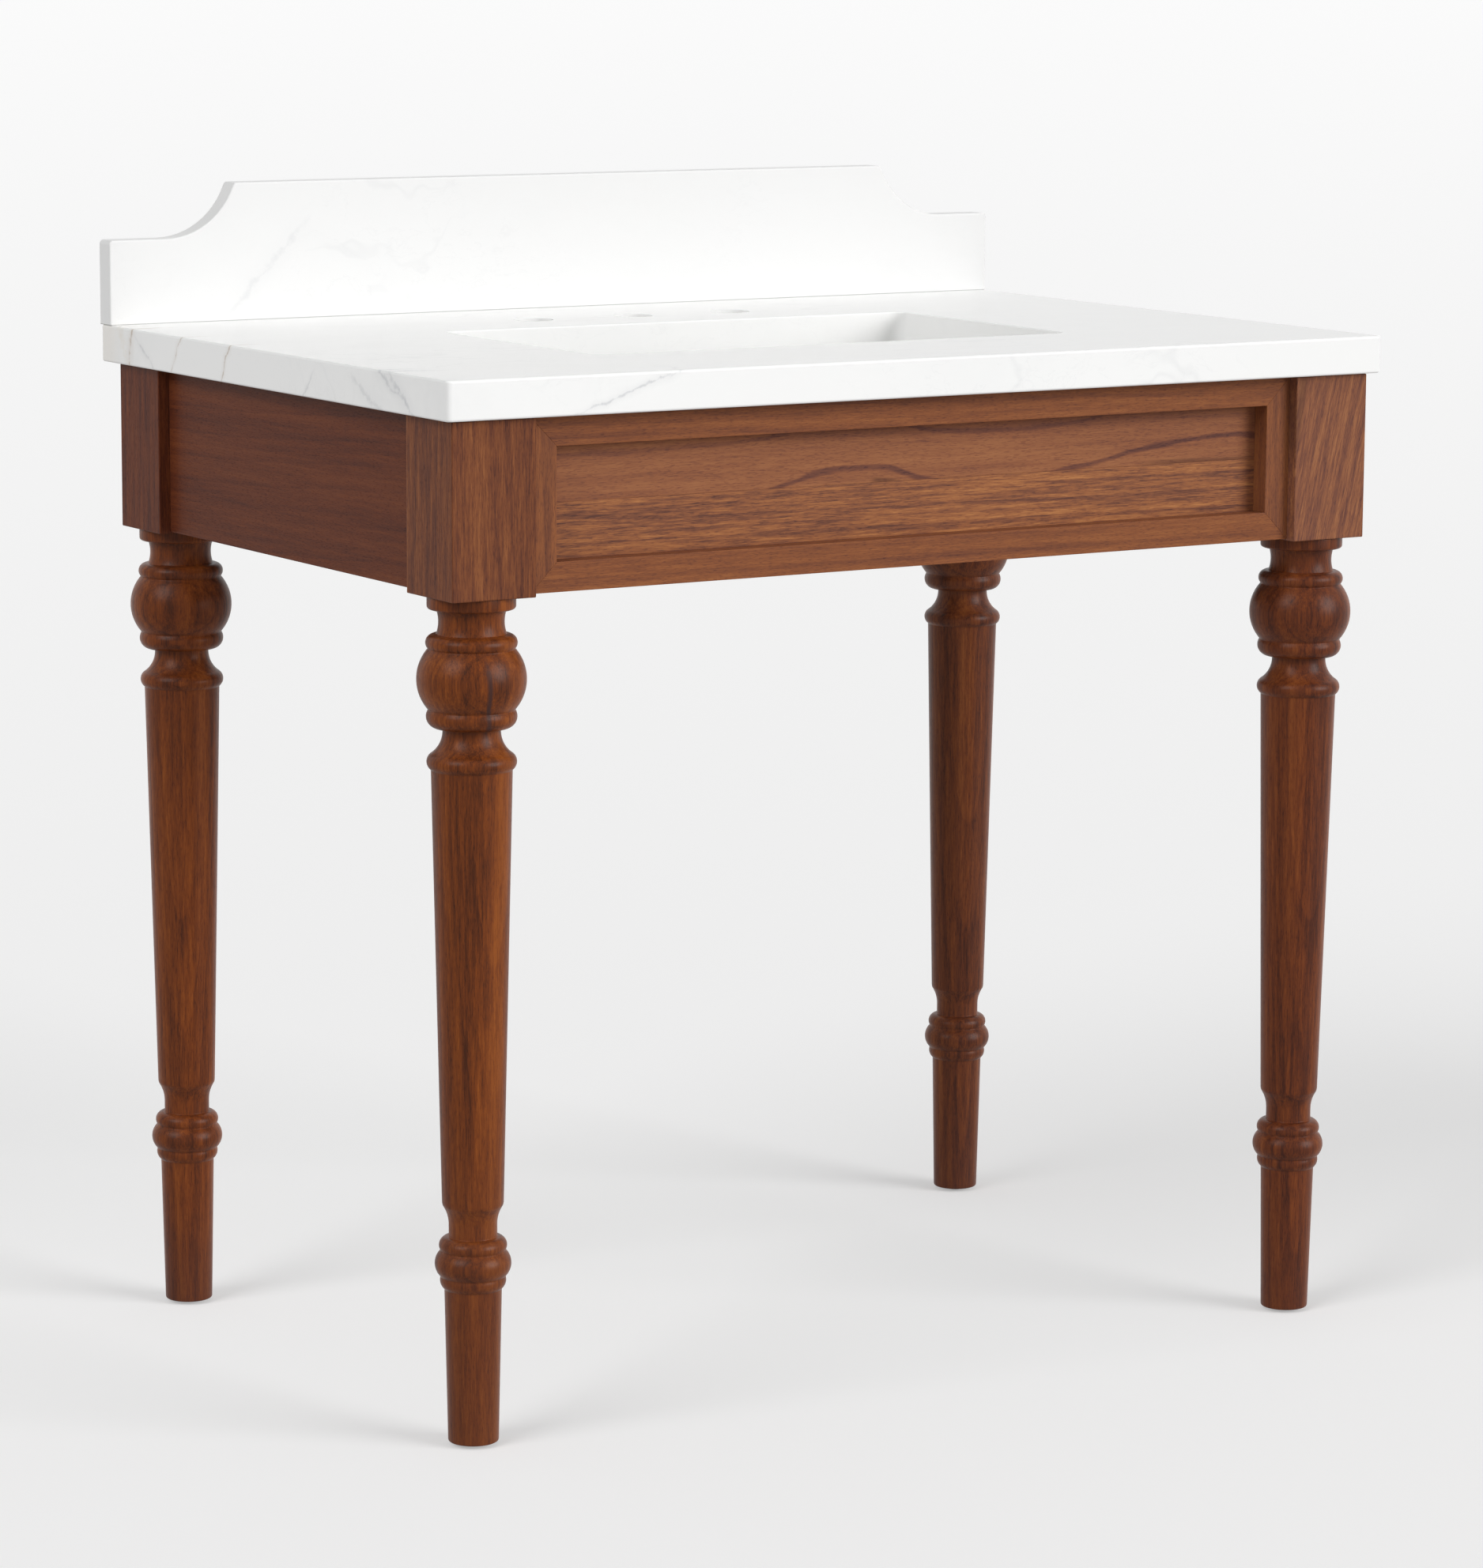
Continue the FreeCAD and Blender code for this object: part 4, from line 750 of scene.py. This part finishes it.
# Plain finishes: (light, dark, roughness, its swing, tone's noise, skin's noise, relief, metallic)
PLAIN_FINISHES = {
    "zinc_plate": (
        (0.66, 0.67, 0.69), (0.50, 0.51, 0.54), 0.34, 0.25,
        (4.0, 0.6, 260.0), (3.0, 0.65, 1800.0), (0.25, 0.05 * MM), 1.0,
    ),
    "machined_brass": (
        (0.74, 0.56, 0.28), (0.58, 0.42, 0.19), 0.30, 0.25,
        (4.0, 0.6, 260.0), (3.0, 0.65, 2400.0), (0.25, 0.05 * MM), 1.0,
    ),
    "sealant_grey": (
        (0.30, 0.30, 0.29), (0.24, 0.24, 0.235), 0.62, 0.2,
        (3.0, 0.6, 180.0), (2.0, 0.6, 900.0), (0.4, 0.12 * MM), 0.0,
    ),
    "sealant_pale": (
        (0.70, 0.70, 0.68), (0.62, 0.62, 0.60), 0.58, 0.2,
        (3.0, 0.6, 180.0), (2.0, 0.6, 900.0), (0.4, 0.12 * MM), 0.0,
    ),
    "glide_plastic": (
        (0.022, 0.022, 0.022), (0.014, 0.014, 0.015), 0.48, 0.2,
        (3.0, 0.6, 440.0), (2.0, 0.6, 2200.0), (0.4, 0.05 * MM), 0.0,
    ),
}


def make_plain(name):
    """Metal with tool marks, or rubber or plastic with a moulded grain, in an uneven tone."""
    light, dark, gloss, swing, tone_noise, skin_noise, relief, metallic = PLAIN_FINISHES[name]
    board = Board(name)
    place = board.place()
    colour = board.blend(board.noise(place, *tone_noise), light, dark)
    skin = board.noise(place, *skin_noise)
    shine = gloss + (skin - 0.5) * swing
    bumps = board.bump(skin, *relief)
    return board.finish(Base_Color=colour, Metallic=metallic, Roughness=shine, Normal=bumps)


# Pieces


def box_of(node):
    low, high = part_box(node)
    return np.array(low), np.array(high)


def block_piece(node, finish, ease):
    """The node's box as an eased block."""
    low, high = box_of(node)
    corners = np.array([(low[0], low[1]), (high[0], low[1]), (high[0], high[1]), (low[0], high[1])])
    make_piece(f"{node}_eased", [prism(corners, low[2], high[2], ease)], finish, [node])


def arc_points(start, end, swell):
    """Points after start on the arc to end whose middle stands swell off the chord."""
    if swell == 0:
        return end[None, :]
    chord = end - start
    half = np.linalg.norm(chord) / 2
    bend = (half * half - swell * swell) / (2 * abs(swell))
    ahead = chord / (2 * half)
    outward = np.array([ahead[1], -ahead[0]]) * math.copysign(1, swell)
    angle = math.atan2(half, bend) * (2 * np.linspace(0, 1, LEG_STEP_POINTS)[1:, None] - 1)
    centre = (start + end) / 2 - outward * bend
    return centre + math.hypot(half, bend) * (np.sin(angle) * ahead + np.cos(angle) * outward)


def read_off(places, marks, line):
    """The points that lie at places on a line whose own points carry marks."""
    return np.stack([np.interp(places, marks, part) for part in line.T], axis=1)


def sanded(line):
    """A line sampled evenly along its length and smoothed with a bell curve."""
    step = np.linalg.norm(np.diff(line, axis=0), axis=1)
    length = np.concatenate([[0], np.cumsum(step)])
    keep = np.concatenate([[True], step > POINTS_APART])
    sample = np.arange(0, length[-1], SANDING_SAMPLE)
    fine = read_off(sample, length[keep], line[keep])
    reach = int(SANDING_REACH * SANDING / SANDING_SAMPLE)
    bell = np.exp(-0.5 * (np.arange(-reach, reach + 1) * SANDING_SAMPLE / SANDING) ** 2)
    bell /= bell.sum()
    padded = np.pad(fine, ((reach, reach), (0, 0)), mode="edge")
    return np.stack([np.convolve(part, bell, mode="valid") for part in padded.T], axis=1)


def spread_rows(line):
    """Points picked from a line so that each span has an equal share of its turn and length."""
    way = np.diff(line, axis=0)
    heading = np.unwrap(np.arctan2(way[:, 1], way[:, 0]))
    turns = np.pad(np.abs(np.diff(heading)), 1)
    cost = np.cumsum(turns / TURN_PER_ROW + SANDING_SAMPLE / RISE_PER_ROW)
    marks = np.arange(len(line))
    places = np.interp(np.linspace(cost[0], cost[-1], int(cost[-1]) + 2), cost, marks)
    return read_off(places, marks, line)


def leg_profile():
    """The leg's half outline as (radius, height) in mm, from the recess in its foot up."""
    place = np.array([FOOT_RIM, 0.0])
    runs = [np.array([(0.0, RECESS_DEPTH), (RECESS_RADIUS, RECESS_DEPTH), (RECESS_RADIUS, 0.0), place])]
    for radius, rise, swell in LEG_STEPS:
        following = np.array([radius, place[1] + rise])
        runs.append(arc_points(place, following, swell))
        place = following
    runs.append(np.array([(0.0, place[1])]))
    rows = spread_rows(sanded(np.concatenate(runs)))
    rows[[0, -1], 0] = 0.0
    return rows


def make_leg(corner, profile, finish):
    """One turned leg."""
    node = f"leg_{corner}"
    low, high = box_of(node)
    centre = (*((low + high) / 2)[:2], low[2])
    grid = lathe(profile[:, 0] * MM, profile[:, 1] * MM, centre, LEG_SIDES)
    make_piece(f"{node}_turned", [grid], finish, [node])


def make_member(node, corners, wide_side, finish):
    """A mitred member of the front frame: its outline in X and Z, carried back in Y.

    The rows over the groove have their inner side moved out by the groove's depth, so
    that the panel's boards run into the member as they do on the real frame.
    """
    low, high = box_of(node)
    insets, depths = end_rounding(low[1], high[1], MITRE_EASE)
    groove_front = low[1] + PANEL_RECESS - GROOVE_ROOM
    groove_back = low[1] + PANEL_RECESS + PANEL_THICK + GROOVE_ROOM
    extra = np.array([groove_front, groove_front, groove_back, groove_back])
    half = len(depths) // 2
    depths = np.concatenate([depths[:half], extra, depths[half:]])
    insets = np.concatenate([insets[:half], np.zeros(4), insets[half:]])
    move = np.zeros(len(depths))
    move[half + 1:half + 3] = GROOVE_DEPTH
    outline = np.asarray(corners, float)
    rows = shrink_outline(outline, insets)
    rows = rows + move[:, None, None] * np.asarray(wide_side, float)[None]
    ease = np.maximum(MITRE_EASE - insets, LEAST_EASE * MITRE_EASE)
    grid = turned(stack(soft_outline(rows, ease), depths), "xzy")
    make_piece(f"{node}_mitred", [grid], finish, [node])


def make_front_frame(finishes):
    """Two stiles and two rails, each running into its neighbours at 45 degrees."""
    left, _ = box_of("front_stile_left")
    _, right = box_of("front_stile_right")
    outward = np.array([(-1, -1), (1, -1), (1, 1), (-1, 1)])
    outer = np.where(outward < 0, left[[0, 2]], right[[0, 2]])
    inner = outer - outward * MEMBER_WIDTH
    nodes = ("front_rail_bottom", "front_stile_right", "front_rail_top", "front_stile_left")
    for start, node in enumerate(nodes):
        end = (start + 1) % len(outward)
        corners = [outer[start], outer[end], inner[end], inner[start]]
        moves = [(0, 0), (0, 0), outward[end], outward[start]]
        make_member(node, corners, moves, finishes[node])


def threaded_rows(low, high, radius, pitch, depth):
    """Radii (rows, sides) and heights (rows) of a right-hand screw thread that fades out at its ends.

    With phase = height / pitch - turn, the groove is depth times a triangle wave of the
    phase, steepened and cut off so that crests and roots are flat.
    """
    rows = int((high - low) / pitch * THREAD_ROWS_PER_TURN)
    heights = np.linspace(low, high, rows)
    phase = heights[:, None] / pitch - np.arange(THREAD_SIDES)[None, :] / THREAD_SIDES
    wave = np.abs(2 * (phase - np.floor(phase + 0.5)))
    radii = radius - depth * np.clip(THREAD_STEEPNESS * wave - THREAD_CREST, 0, 1)
    from_end = np.minimum(heights - low, high - heights)[:, None]
    return np.minimum(radii, radius - depth + from_end), heights


def make_stem(corner, finish):
    """A leveller's screw stem: a plain pivot with a groove, then a coarse thread to the tip."""
    node = f"leveller_stem_{corner}"
    low, high = box_of(node)
    centre = (*((low + high) / 2)[:2], 0.0)
    radii, heights = threaded_rows(STEM_SHOULDER, high[2], STEM_RADIUS, STEM_PITCH, STEM_THREAD)
    foot = low[2]
    start = [(0.0, foot), (PIVOT_RADIUS - PIVOT_CHAMFER, foot), (PIVOT_RADIUS, foot + PIVOT_CHAMFER)]
    pivot = np.concatenate([start, (PIVOT_RADIUS, STEM_SHOULDER) - np.array(PIVOT_GROOVE) * MM])
    all_radii = np.concatenate([
        np.repeat(pivot[:, :1], THREAD_SIDES, axis=1), radii, np.zeros((1, THREAD_SIDES)),
    ])
    all_heights = np.concatenate([pivot[:, 1], heights, [high[2]]])
    grid = lathe(all_radii, all_heights, centre, THREAD_SIDES)
    make_piece(f"{node}_threaded", [grid], finish, [node], body=node)


def make_glide(corner, finish):
    """A moulded glide: a rounded puck with a shallow dished sole and a socket for the stem."""
    node = f"glide_{corner}"
    low, high = box_of(node)
    centre = (*((low + high) / 2)[:2], 0.0)
    radius = (high[0] - low[0]) / 2
    top = high[2]
    turn = np.linspace(0, QUARTER, GLIDE_ARC_POINTS)
    rim, brow = GLIDE_RIM, GLIDE_BROW
    sole = [*(np.array(GLIDE_SOLE) * MM), (radius - GLIDE_SOLE_EDGE, 0.0)]
    lower = np.stack([radius - rim + rim * np.sin(turn), rim - rim * np.cos(turn)], axis=1)
    waist = np.array(GLIDE_WAIST) * (-MM, MM) + (radius, 0.0)
    upper = np.stack([radius - brow + brow * np.cos(turn), top - brow + brow * np.sin(turn)], axis=1)
    socket = [
        (SOCKET_RADIUS + SOCKET_CHAMFER, top), (SOCKET_RADIUS, top - SOCKET_CHAMFER),
        (SOCKET_RADIUS, SOCKET_FLOOR), (0.0, SOCKET_FLOOR),
    ]
    profile = np.concatenate([sole, lower, waist, upper, socket])
    grid = lathe(profile[:, 0], profile[:, 1], centre, GLIDE_SIDES)
    make_piece(f"{node}_moulded", [grid], finish, [node], body=node)


def clip_grids(bottom, top):
    """A bent clip as two closed grids: a plate with a hole, and the strip bent up from its outer end.

    A point of the strip lies s out from the stud and h above the lower face. It goes
    straight out to the bend, turns through a quarter circle about the bend's centre at
    the radius bend - h, and then stands upright.
    """
    wide, thick, bend = CLIP_HALF_WIDTH, CLIP_THICK, CLIP_BEND
    edge = np.array([(-wide, -CLIP_INNER), (wide, -CLIP_INNER), (wide, CLIP_START), (-wide, CLIP_START)])
    outline = soft_outline(edge, SMALL_EASE, SMALL_HOLD)
    sides = np.linspace(np.roll(outline, 1, axis=0), outline, CLIP_SIDE_POINTS)[1:]
    sides = sides.transpose(1, 0, 2).reshape(-1, 2)
    angle = np.arctan2(sides[:, 1], sides[:, 0])
    hole = STUD_HOLE * np.stack([np.cos(angle), np.sin(angle)], axis=1)
    trimmed = sides * (1 - SMALL_EASE / wide)
    rings = np.stack([hole, trimmed, sides, sides, trimmed, hole])
    levels = np.array([thick, thick, thick - SMALL_EASE, SMALL_EASE, 0.0, 0.0]) + bottom
    points, _, _ = stack(rings, levels)
    plate = points, True, True
    bend_from = CLIP_START + CLIP_RUN
    tip = bend_from + top - bottom
    s = np.concatenate([
        [CLIP_START - CLIP_LAP, CLIP_START, CLIP_START],
        bend_from + np.linspace(0, bend, CLIP_BEND_STEPS), [tip - SMALL_EASE, tip],
    ])
    tuck = np.concatenate([[LAP_TUCK, LAP_TUCK], np.zeros(CLIP_BEND_STEPS + 2), [TIP_TUCK]])
    box = np.array([(-wide, 0.0), (wide, 0.0), (wide, thick), (-wide, thick)])
    section = soft_outline(shrink_outline(box, tuck), np.full(len(s), SMALL_EASE), SMALL_HOLD)
    x, h = section[..., 0], section[..., 1]
    angle = np.clip((s - bend_from) / bend, 0, 1)[:, None] * QUARTER
    y = np.minimum(s, bend_from)[:, None] + (bend - h) * np.sin(angle)
    rise = np.clip(s - bend_from - bend, 0, None)[:, None]
    z = bottom + bend - (bend - h) * np.cos(angle) + rise
    return [plate, (np.stack([x, y, z], axis=-1), False, True)]


def nut_grids(top):
    """A wing nut: a waisted hub round its bore, and two rounded ears that rake down and out."""
    hub = np.array(HUB_OUTLINE) * MM
    grids = [lathe(hub[:, 0], hub[:, 1], (0.0, 0.0, top), HUB_SIDES, hollow=True)]
    for side in (1, -1):
        outline = np.array(WING_OUTLINE)[::side] * MM * (side, 1) + (0.0, top)
        blade = prism(outline, -WING_HALF_THICK, WING_HALF_THICK, WING_EASE, WING_CORNER_EASE, SMALL_HOLD)
        grids.append(turned(blade, "xzy"))
    return grids


def make_basin_fixings(finish):
    """Six bent clips on threaded studs, each held up by a wing nut."""
    low, high = box_of("sink_clips")
    stud_low, stud_high = box_of("sink_clip_studs")
    radii, heights = threaded_rows(stud_low[2], stud_high[2], STUD_RADIUS, STUD_PITCH, STUD_THREAD)
    closed = np.zeros((1, THREAD_SIDES))
    radii = np.concatenate([closed, radii, closed])
    heights = np.concatenate([stud_low[2:], heights, stud_high[2:]])
    kinds = (
        ("sink_clips", "bent", clip_grids(low[2], high[2])),
        ("sink_clip_studs", "threaded", [lathe(radii, heights, (0.0, 0.0, 0.0), THREAD_SIDES)]),
        ("sink_clip_nuts", "winged", nut_grids(low[2])),
    )
    for node, look, grids in kinds:
        whole = [placed(grid, (x, y, 0.0), turn) for x, y, turn in CLIP_PLACES for grid in grids]
        make_piece(f"{node}_{look}", whole, finish, [node])


def screw_grid():
    """A round-headed screw that points along +Y, with a cross cut into its head.

    The head's face rises by its height times the root of 1 - (r / dome's radius)^2. Where
    a point lies less than half a slot's width from either cross axis and within the
    slot's reach, it sinks by the slot's depth.
    """
    rings = np.array(SCREW_RINGS) * MM
    turn = np.arange(SCREW_SIDES) * (2 * math.pi / SCREW_SIDES)
    face = SCREW_HEAD_HEIGHT * np.sqrt(1 - (rings / SCREW_DOME_RADIUS) ** 2)[:, None]
    beside = np.minimum(np.abs(np.cos(turn)), np.abs(np.sin(turn))) * rings[:, None]
    slot = (beside < SLOT_HALF_WIDTH) & (rings[:, None] < SLOT_REACH)
    face = face - SLOT_DEPTH * slot
    tail = np.array([
        (SCREW_HEAD_RADIUS, 0.0), (SCREW_RADIUS, 0.0), (SCREW_RADIUS, SCREW_LENGTH - SCREW_RADIUS),
        (0.0, SCREW_LENGTH),
    ])
    radii = np.concatenate([rings, tail[:, 0]])
    heights = np.concatenate([-face, np.repeat(tail[:, 1:], SCREW_SIDES, axis=1)])
    return turned(lathe(radii, heights, (0.0, 0.0, 0.0), SCREW_SIDES), "xzy")


def make_cleat_screws(finish):
    """Three screws through each batten, driven outward."""
    screw = screw_grid()
    grids = []
    for side, turn in (("back", 0.0), ("front", math.pi), ("left", QUARTER), ("right", -QUARTER)):
        low, high = box_of(f"cleat_{side}")
        middle = (low + high) / 2
        run = 0 if side in ("front", "back") else 1
        half = (high[run] - low[run]) / 2 - SCREW_END_GAP
        for step in (-half, 0.0, half):
            place = middle.copy()
            place[run] += step
            place[1 - run] = low[1 - run] if side in ("back", "right") else high[1 - run]
            grids.append(placed(screw, place, turn))
    make_piece("cleat_screws_driven", grids, finish, ["cleat_screws"])


def make_glue_blocks(finish):
    """Three-cornered blocks in the corners between posts, aprons and front frame."""
    low, high = box_of("glue_blocks")
    _, front = box_of("post_front_left")
    back, _ = box_of("post_back_left")
    side = GLUE_BLOCK_SIDE
    corners = np.array([(0.0, 0.0), (side, 0.0), (0.0, side)])
    block = prism(corners, low[2], high[2], GLUE_BLOCK_EASE)
    turns = {(1, 1): 0, (-1, 1): 1, (-1, -1): 2, (1, -1): 3}
    grids = []
    for end, corner_y, rail_y in ((-1, front[1], low[1]), (1, back[1], high[1])):
        for way in (-1, 1):
            turn = turns[-way, -end] * QUARTER
            grids.append(placed(block, (way * high[0], corner_y, 0.0), turn))
            grids.append(placed(block, (way * -front[0], rail_y, 0.0), turn))
    make_piece("glue_blocks_eased", grids, finish, ["glue_blocks"])


def make_corner(index, profile, steel, black):
    """The post, leg and leveller of one corner."""
    corner = CORNERS[index]
    low, high = box_of(f"post_{corner}")
    x, y, _ = (low + high) / 2
    side = 1 if corner.endswith("right") else -1
    heart = (x - side * POST_HEART[0], y + POST_HEART[1] + POST_HEART_STEP * index, POST_HEART[2])
    walnut = make_walnut(f"walnut_post_{corner}", "z", heart, POST_RING, **POST_CUTS[index])
    block_piece(f"post_{corner}", walnut, WOOD_EASE)
    low, high = box_of(f"leg_{corner}")
    x, y, _ = (low + high) / 2
    heart = (x + LEG_HEARTS[index][0], y + LEG_HEARTS[index][1], LEG_HEART_HEIGHT)
    make_leg(corner, profile, make_walnut(f"walnut_leg_{corner}", "z", heart, **LEG_CUT, **LEG_CUTS[index]))
    make_stem(corner, steel)
    make_glide(corner, black)


def make_boards(beech):
    """The frame's boards, the panel in its frame, and the battens."""
    for side, way in (("left", -1), ("right", 1)):
        heart = (way * SIDE_HEART[0], *SIDE_HEART[1:])
        walnut = make_walnut(f"walnut_side_{side}", "y", heart, **SIDE_CUT)
        block_piece(f"side_apron_{side}", walnut, WOOD_EASE)
    block_piece("back_apron", make_walnut("walnut_back", "x", **BACK_CUT), WOOD_EASE)
    for level, cut in (("upper", UPPER_CUT), ("lower", LOWER_CUT)):
        walnut = make_walnut(f"walnut_{level}_board", "x", **cut)
        block_piece(f"front_panel_{level}", walnut, BOARD_EASE)
    make_front_frame({
        node: make_walnut(f"walnut_{node}", grain, heart, tint=tint, lean=lean, **MEMBER_CUT)
        for node, (grain, heart, tint, lean) in MEMBERS.items()
    })
    for side, grain in (("left", "y"), ("right", "y"), ("front", "x"), ("back", "x")):
        block_piece(f"cleat_{side}", beech[grain], BATTEN_EASE)


def make_pieces():
    """Every new piece, then the finishes of the CAD nodes that stay."""
    profile = leg_profile()
    steel, brass, seal, pale_seal, black = (make_plain(name) for name in PLAIN_FINISHES)
    beech = {grain: make_beech(f"beech_{grain}", grain) for grain in "xyz"}
    for index in range(len(CORNERS)):
        make_corner(index, profile, steel, black)
    make_boards(beech)
    make_basin_fixings(steel)
    make_cleat_screws(brass)
    make_glue_blocks(beech["z"])
    kept = {
        "marble_top": make_marble("marble_slab", SLAB_WHITE, 0.22, 0.25),
        "marble_backsplash": make_marble("marble_splash", SPLASH_SHADED_WHITE, 0.34, 0.05),
        "sink_basin": make_glaze(), "basin_gasket": pale_seal, "frame_dowels": beech["x"],
        "leg_hanger_bolts": steel, "post_bolt_inserts": brass, "leveller_inserts": brass,
        **{f"bedding_{side}": seal for side in ("left", "right", "front", "back")},
    }
    for node, finish in kept.items():
        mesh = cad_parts[node].data
        mesh.materials.clear()
        mesh.materials.append(finish)


# Lights, floor and camera


def add_sun(name, direction, level, spread):
    """A soft distant lamp; level is what it alone would give a white card that faces it."""
    lamp = bpy.data.lights.new(name, "SUN")
    lamp.energy = level * math.pi
    lamp.angle = spread
    holder = bpy.data.objects.new(name, lamp)
    away = np.array(direction) / np.linalg.norm(direction)
    side = np.cross((0.0, 0.0, 1.0), away)
    side /= np.linalg.norm(side)
    up = np.cross(away, side)
    turn = Matrix([[side[row], up[row], away[row]] for row in range(3)])
    holder.matrix_world = turn.to_4x4()
    bpy.context.scene.collection.objects.link(holder)


def add_sky():
    """An even pale world: dimmer as a light than as the background that rays see."""
    world = bpy.data.worlds.new("studio")
    bpy.context.scene.world = world
    board = Board("studio", world)
    level = SKY_LEVEL + board.seen() * (BACKDROP - SKY_LEVEL)
    shade = board.add("ShaderNodeBackground", values={"Color": WHITE, "Strength": level})
    board.add("ShaderNodeOutputWorld", values={0: shade})


def add_floor():
    """A wide pale floor that brightens with distance from the object and keeps its shadow.

    Its underside is clear to the camera, so that a view from below shows the object.
    """
    half = FLOOR_HALF
    mesh = bpy.data.meshes.new("floor")
    corners = [(-half, -half, 0), (half, -half, 0), (half, half, 0), (-half, half, 0)]
    mesh.from_pydata(corners, [], [range(len(corners))])
    board = Board("floor_paper")
    away = board.vector("LENGTH", board.place(), output="Value")
    nearness = 1 / (1 + away / FLOOR_BLEND)
    glow = FLOOR_LIFT_FAR + nearness * (FLOOR_LIFT_NEAR - FLOOR_LIFT_FAR)
    matt = board.add("ShaderNodeBsdfDiffuse", values={"Color": (FLOOR_PAINT,) * 3 + (1.0,)})
    lift = board.add("ShaderNodeEmission", values={"Color": WHITE, "Strength": board.seen() * glow})
    both = board.add("ShaderNodeAddShader", values={0: matt, 1: lift})
    straight = board.add("ShaderNodeLightPath", output="Is Camera Ray")
    below = straight * board.add("ShaderNodeNewGeometry", output="Backfacing")
    clear = board.add("ShaderNodeBsdfTransparent")
    shade = board.add("ShaderNodeMixShader", values={0: below, 1: both, 2: clear})
    board.add("ShaderNodeOutputMaterial", values={0: shade})
    mesh.materials.append(board.owner)
    floor = bpy.data.objects.new("floor", mesh)
    bpy.context.scene.collection.objects.link(floor)


def add_camera():
    """The photograph's own viewpoint."""
    yaw, pitch, roll = CAMERA_YAW, CAMERA_PITCH, CAMERA_ROLL
    ahead = np.array([math.sin(yaw) * math.cos(pitch), math.cos(yaw) * math.cos(pitch), -math.sin(pitch)])
    level = np.array([math.cos(yaw), -math.sin(yaw), 0.0])
    above = np.cross(level, ahead)
    right = math.cos(roll) * level + math.sin(roll) * above
    up = math.cos(roll) * above - math.sin(roll) * level
    lens = bpy.data.cameras.new("camera")
    lens.sensor_width = SENSOR
    lens.lens = FOCAL_PIXELS * SENSOR / IMAGE_HEIGHT
    lens.clip_end = SIGHT
    camera = bpy.data.objects.new("camera", lens)
    turn = Matrix([[right[row], up[row], -ahead[row]] for row in range(3)])
    camera.matrix_world = Matrix.Translation(CAMERA_PLACE) @ turn.to_4x4()
    bpy.context.scene.collection.objects.link(camera)
    bpy.context.scene.camera = camera


make_pieces()
add_floor()
add_sky()
add_sun("key_lamp", KEY_FROM, KEY_LEVEL, KEY_SPREAD)
add_sun("side_lamp", SIDE_FROM, SIDE_LEVEL, SIDE_SPREAD)
add_camera()
bpy.context.scene.view_settings.view_transform = "Standard"
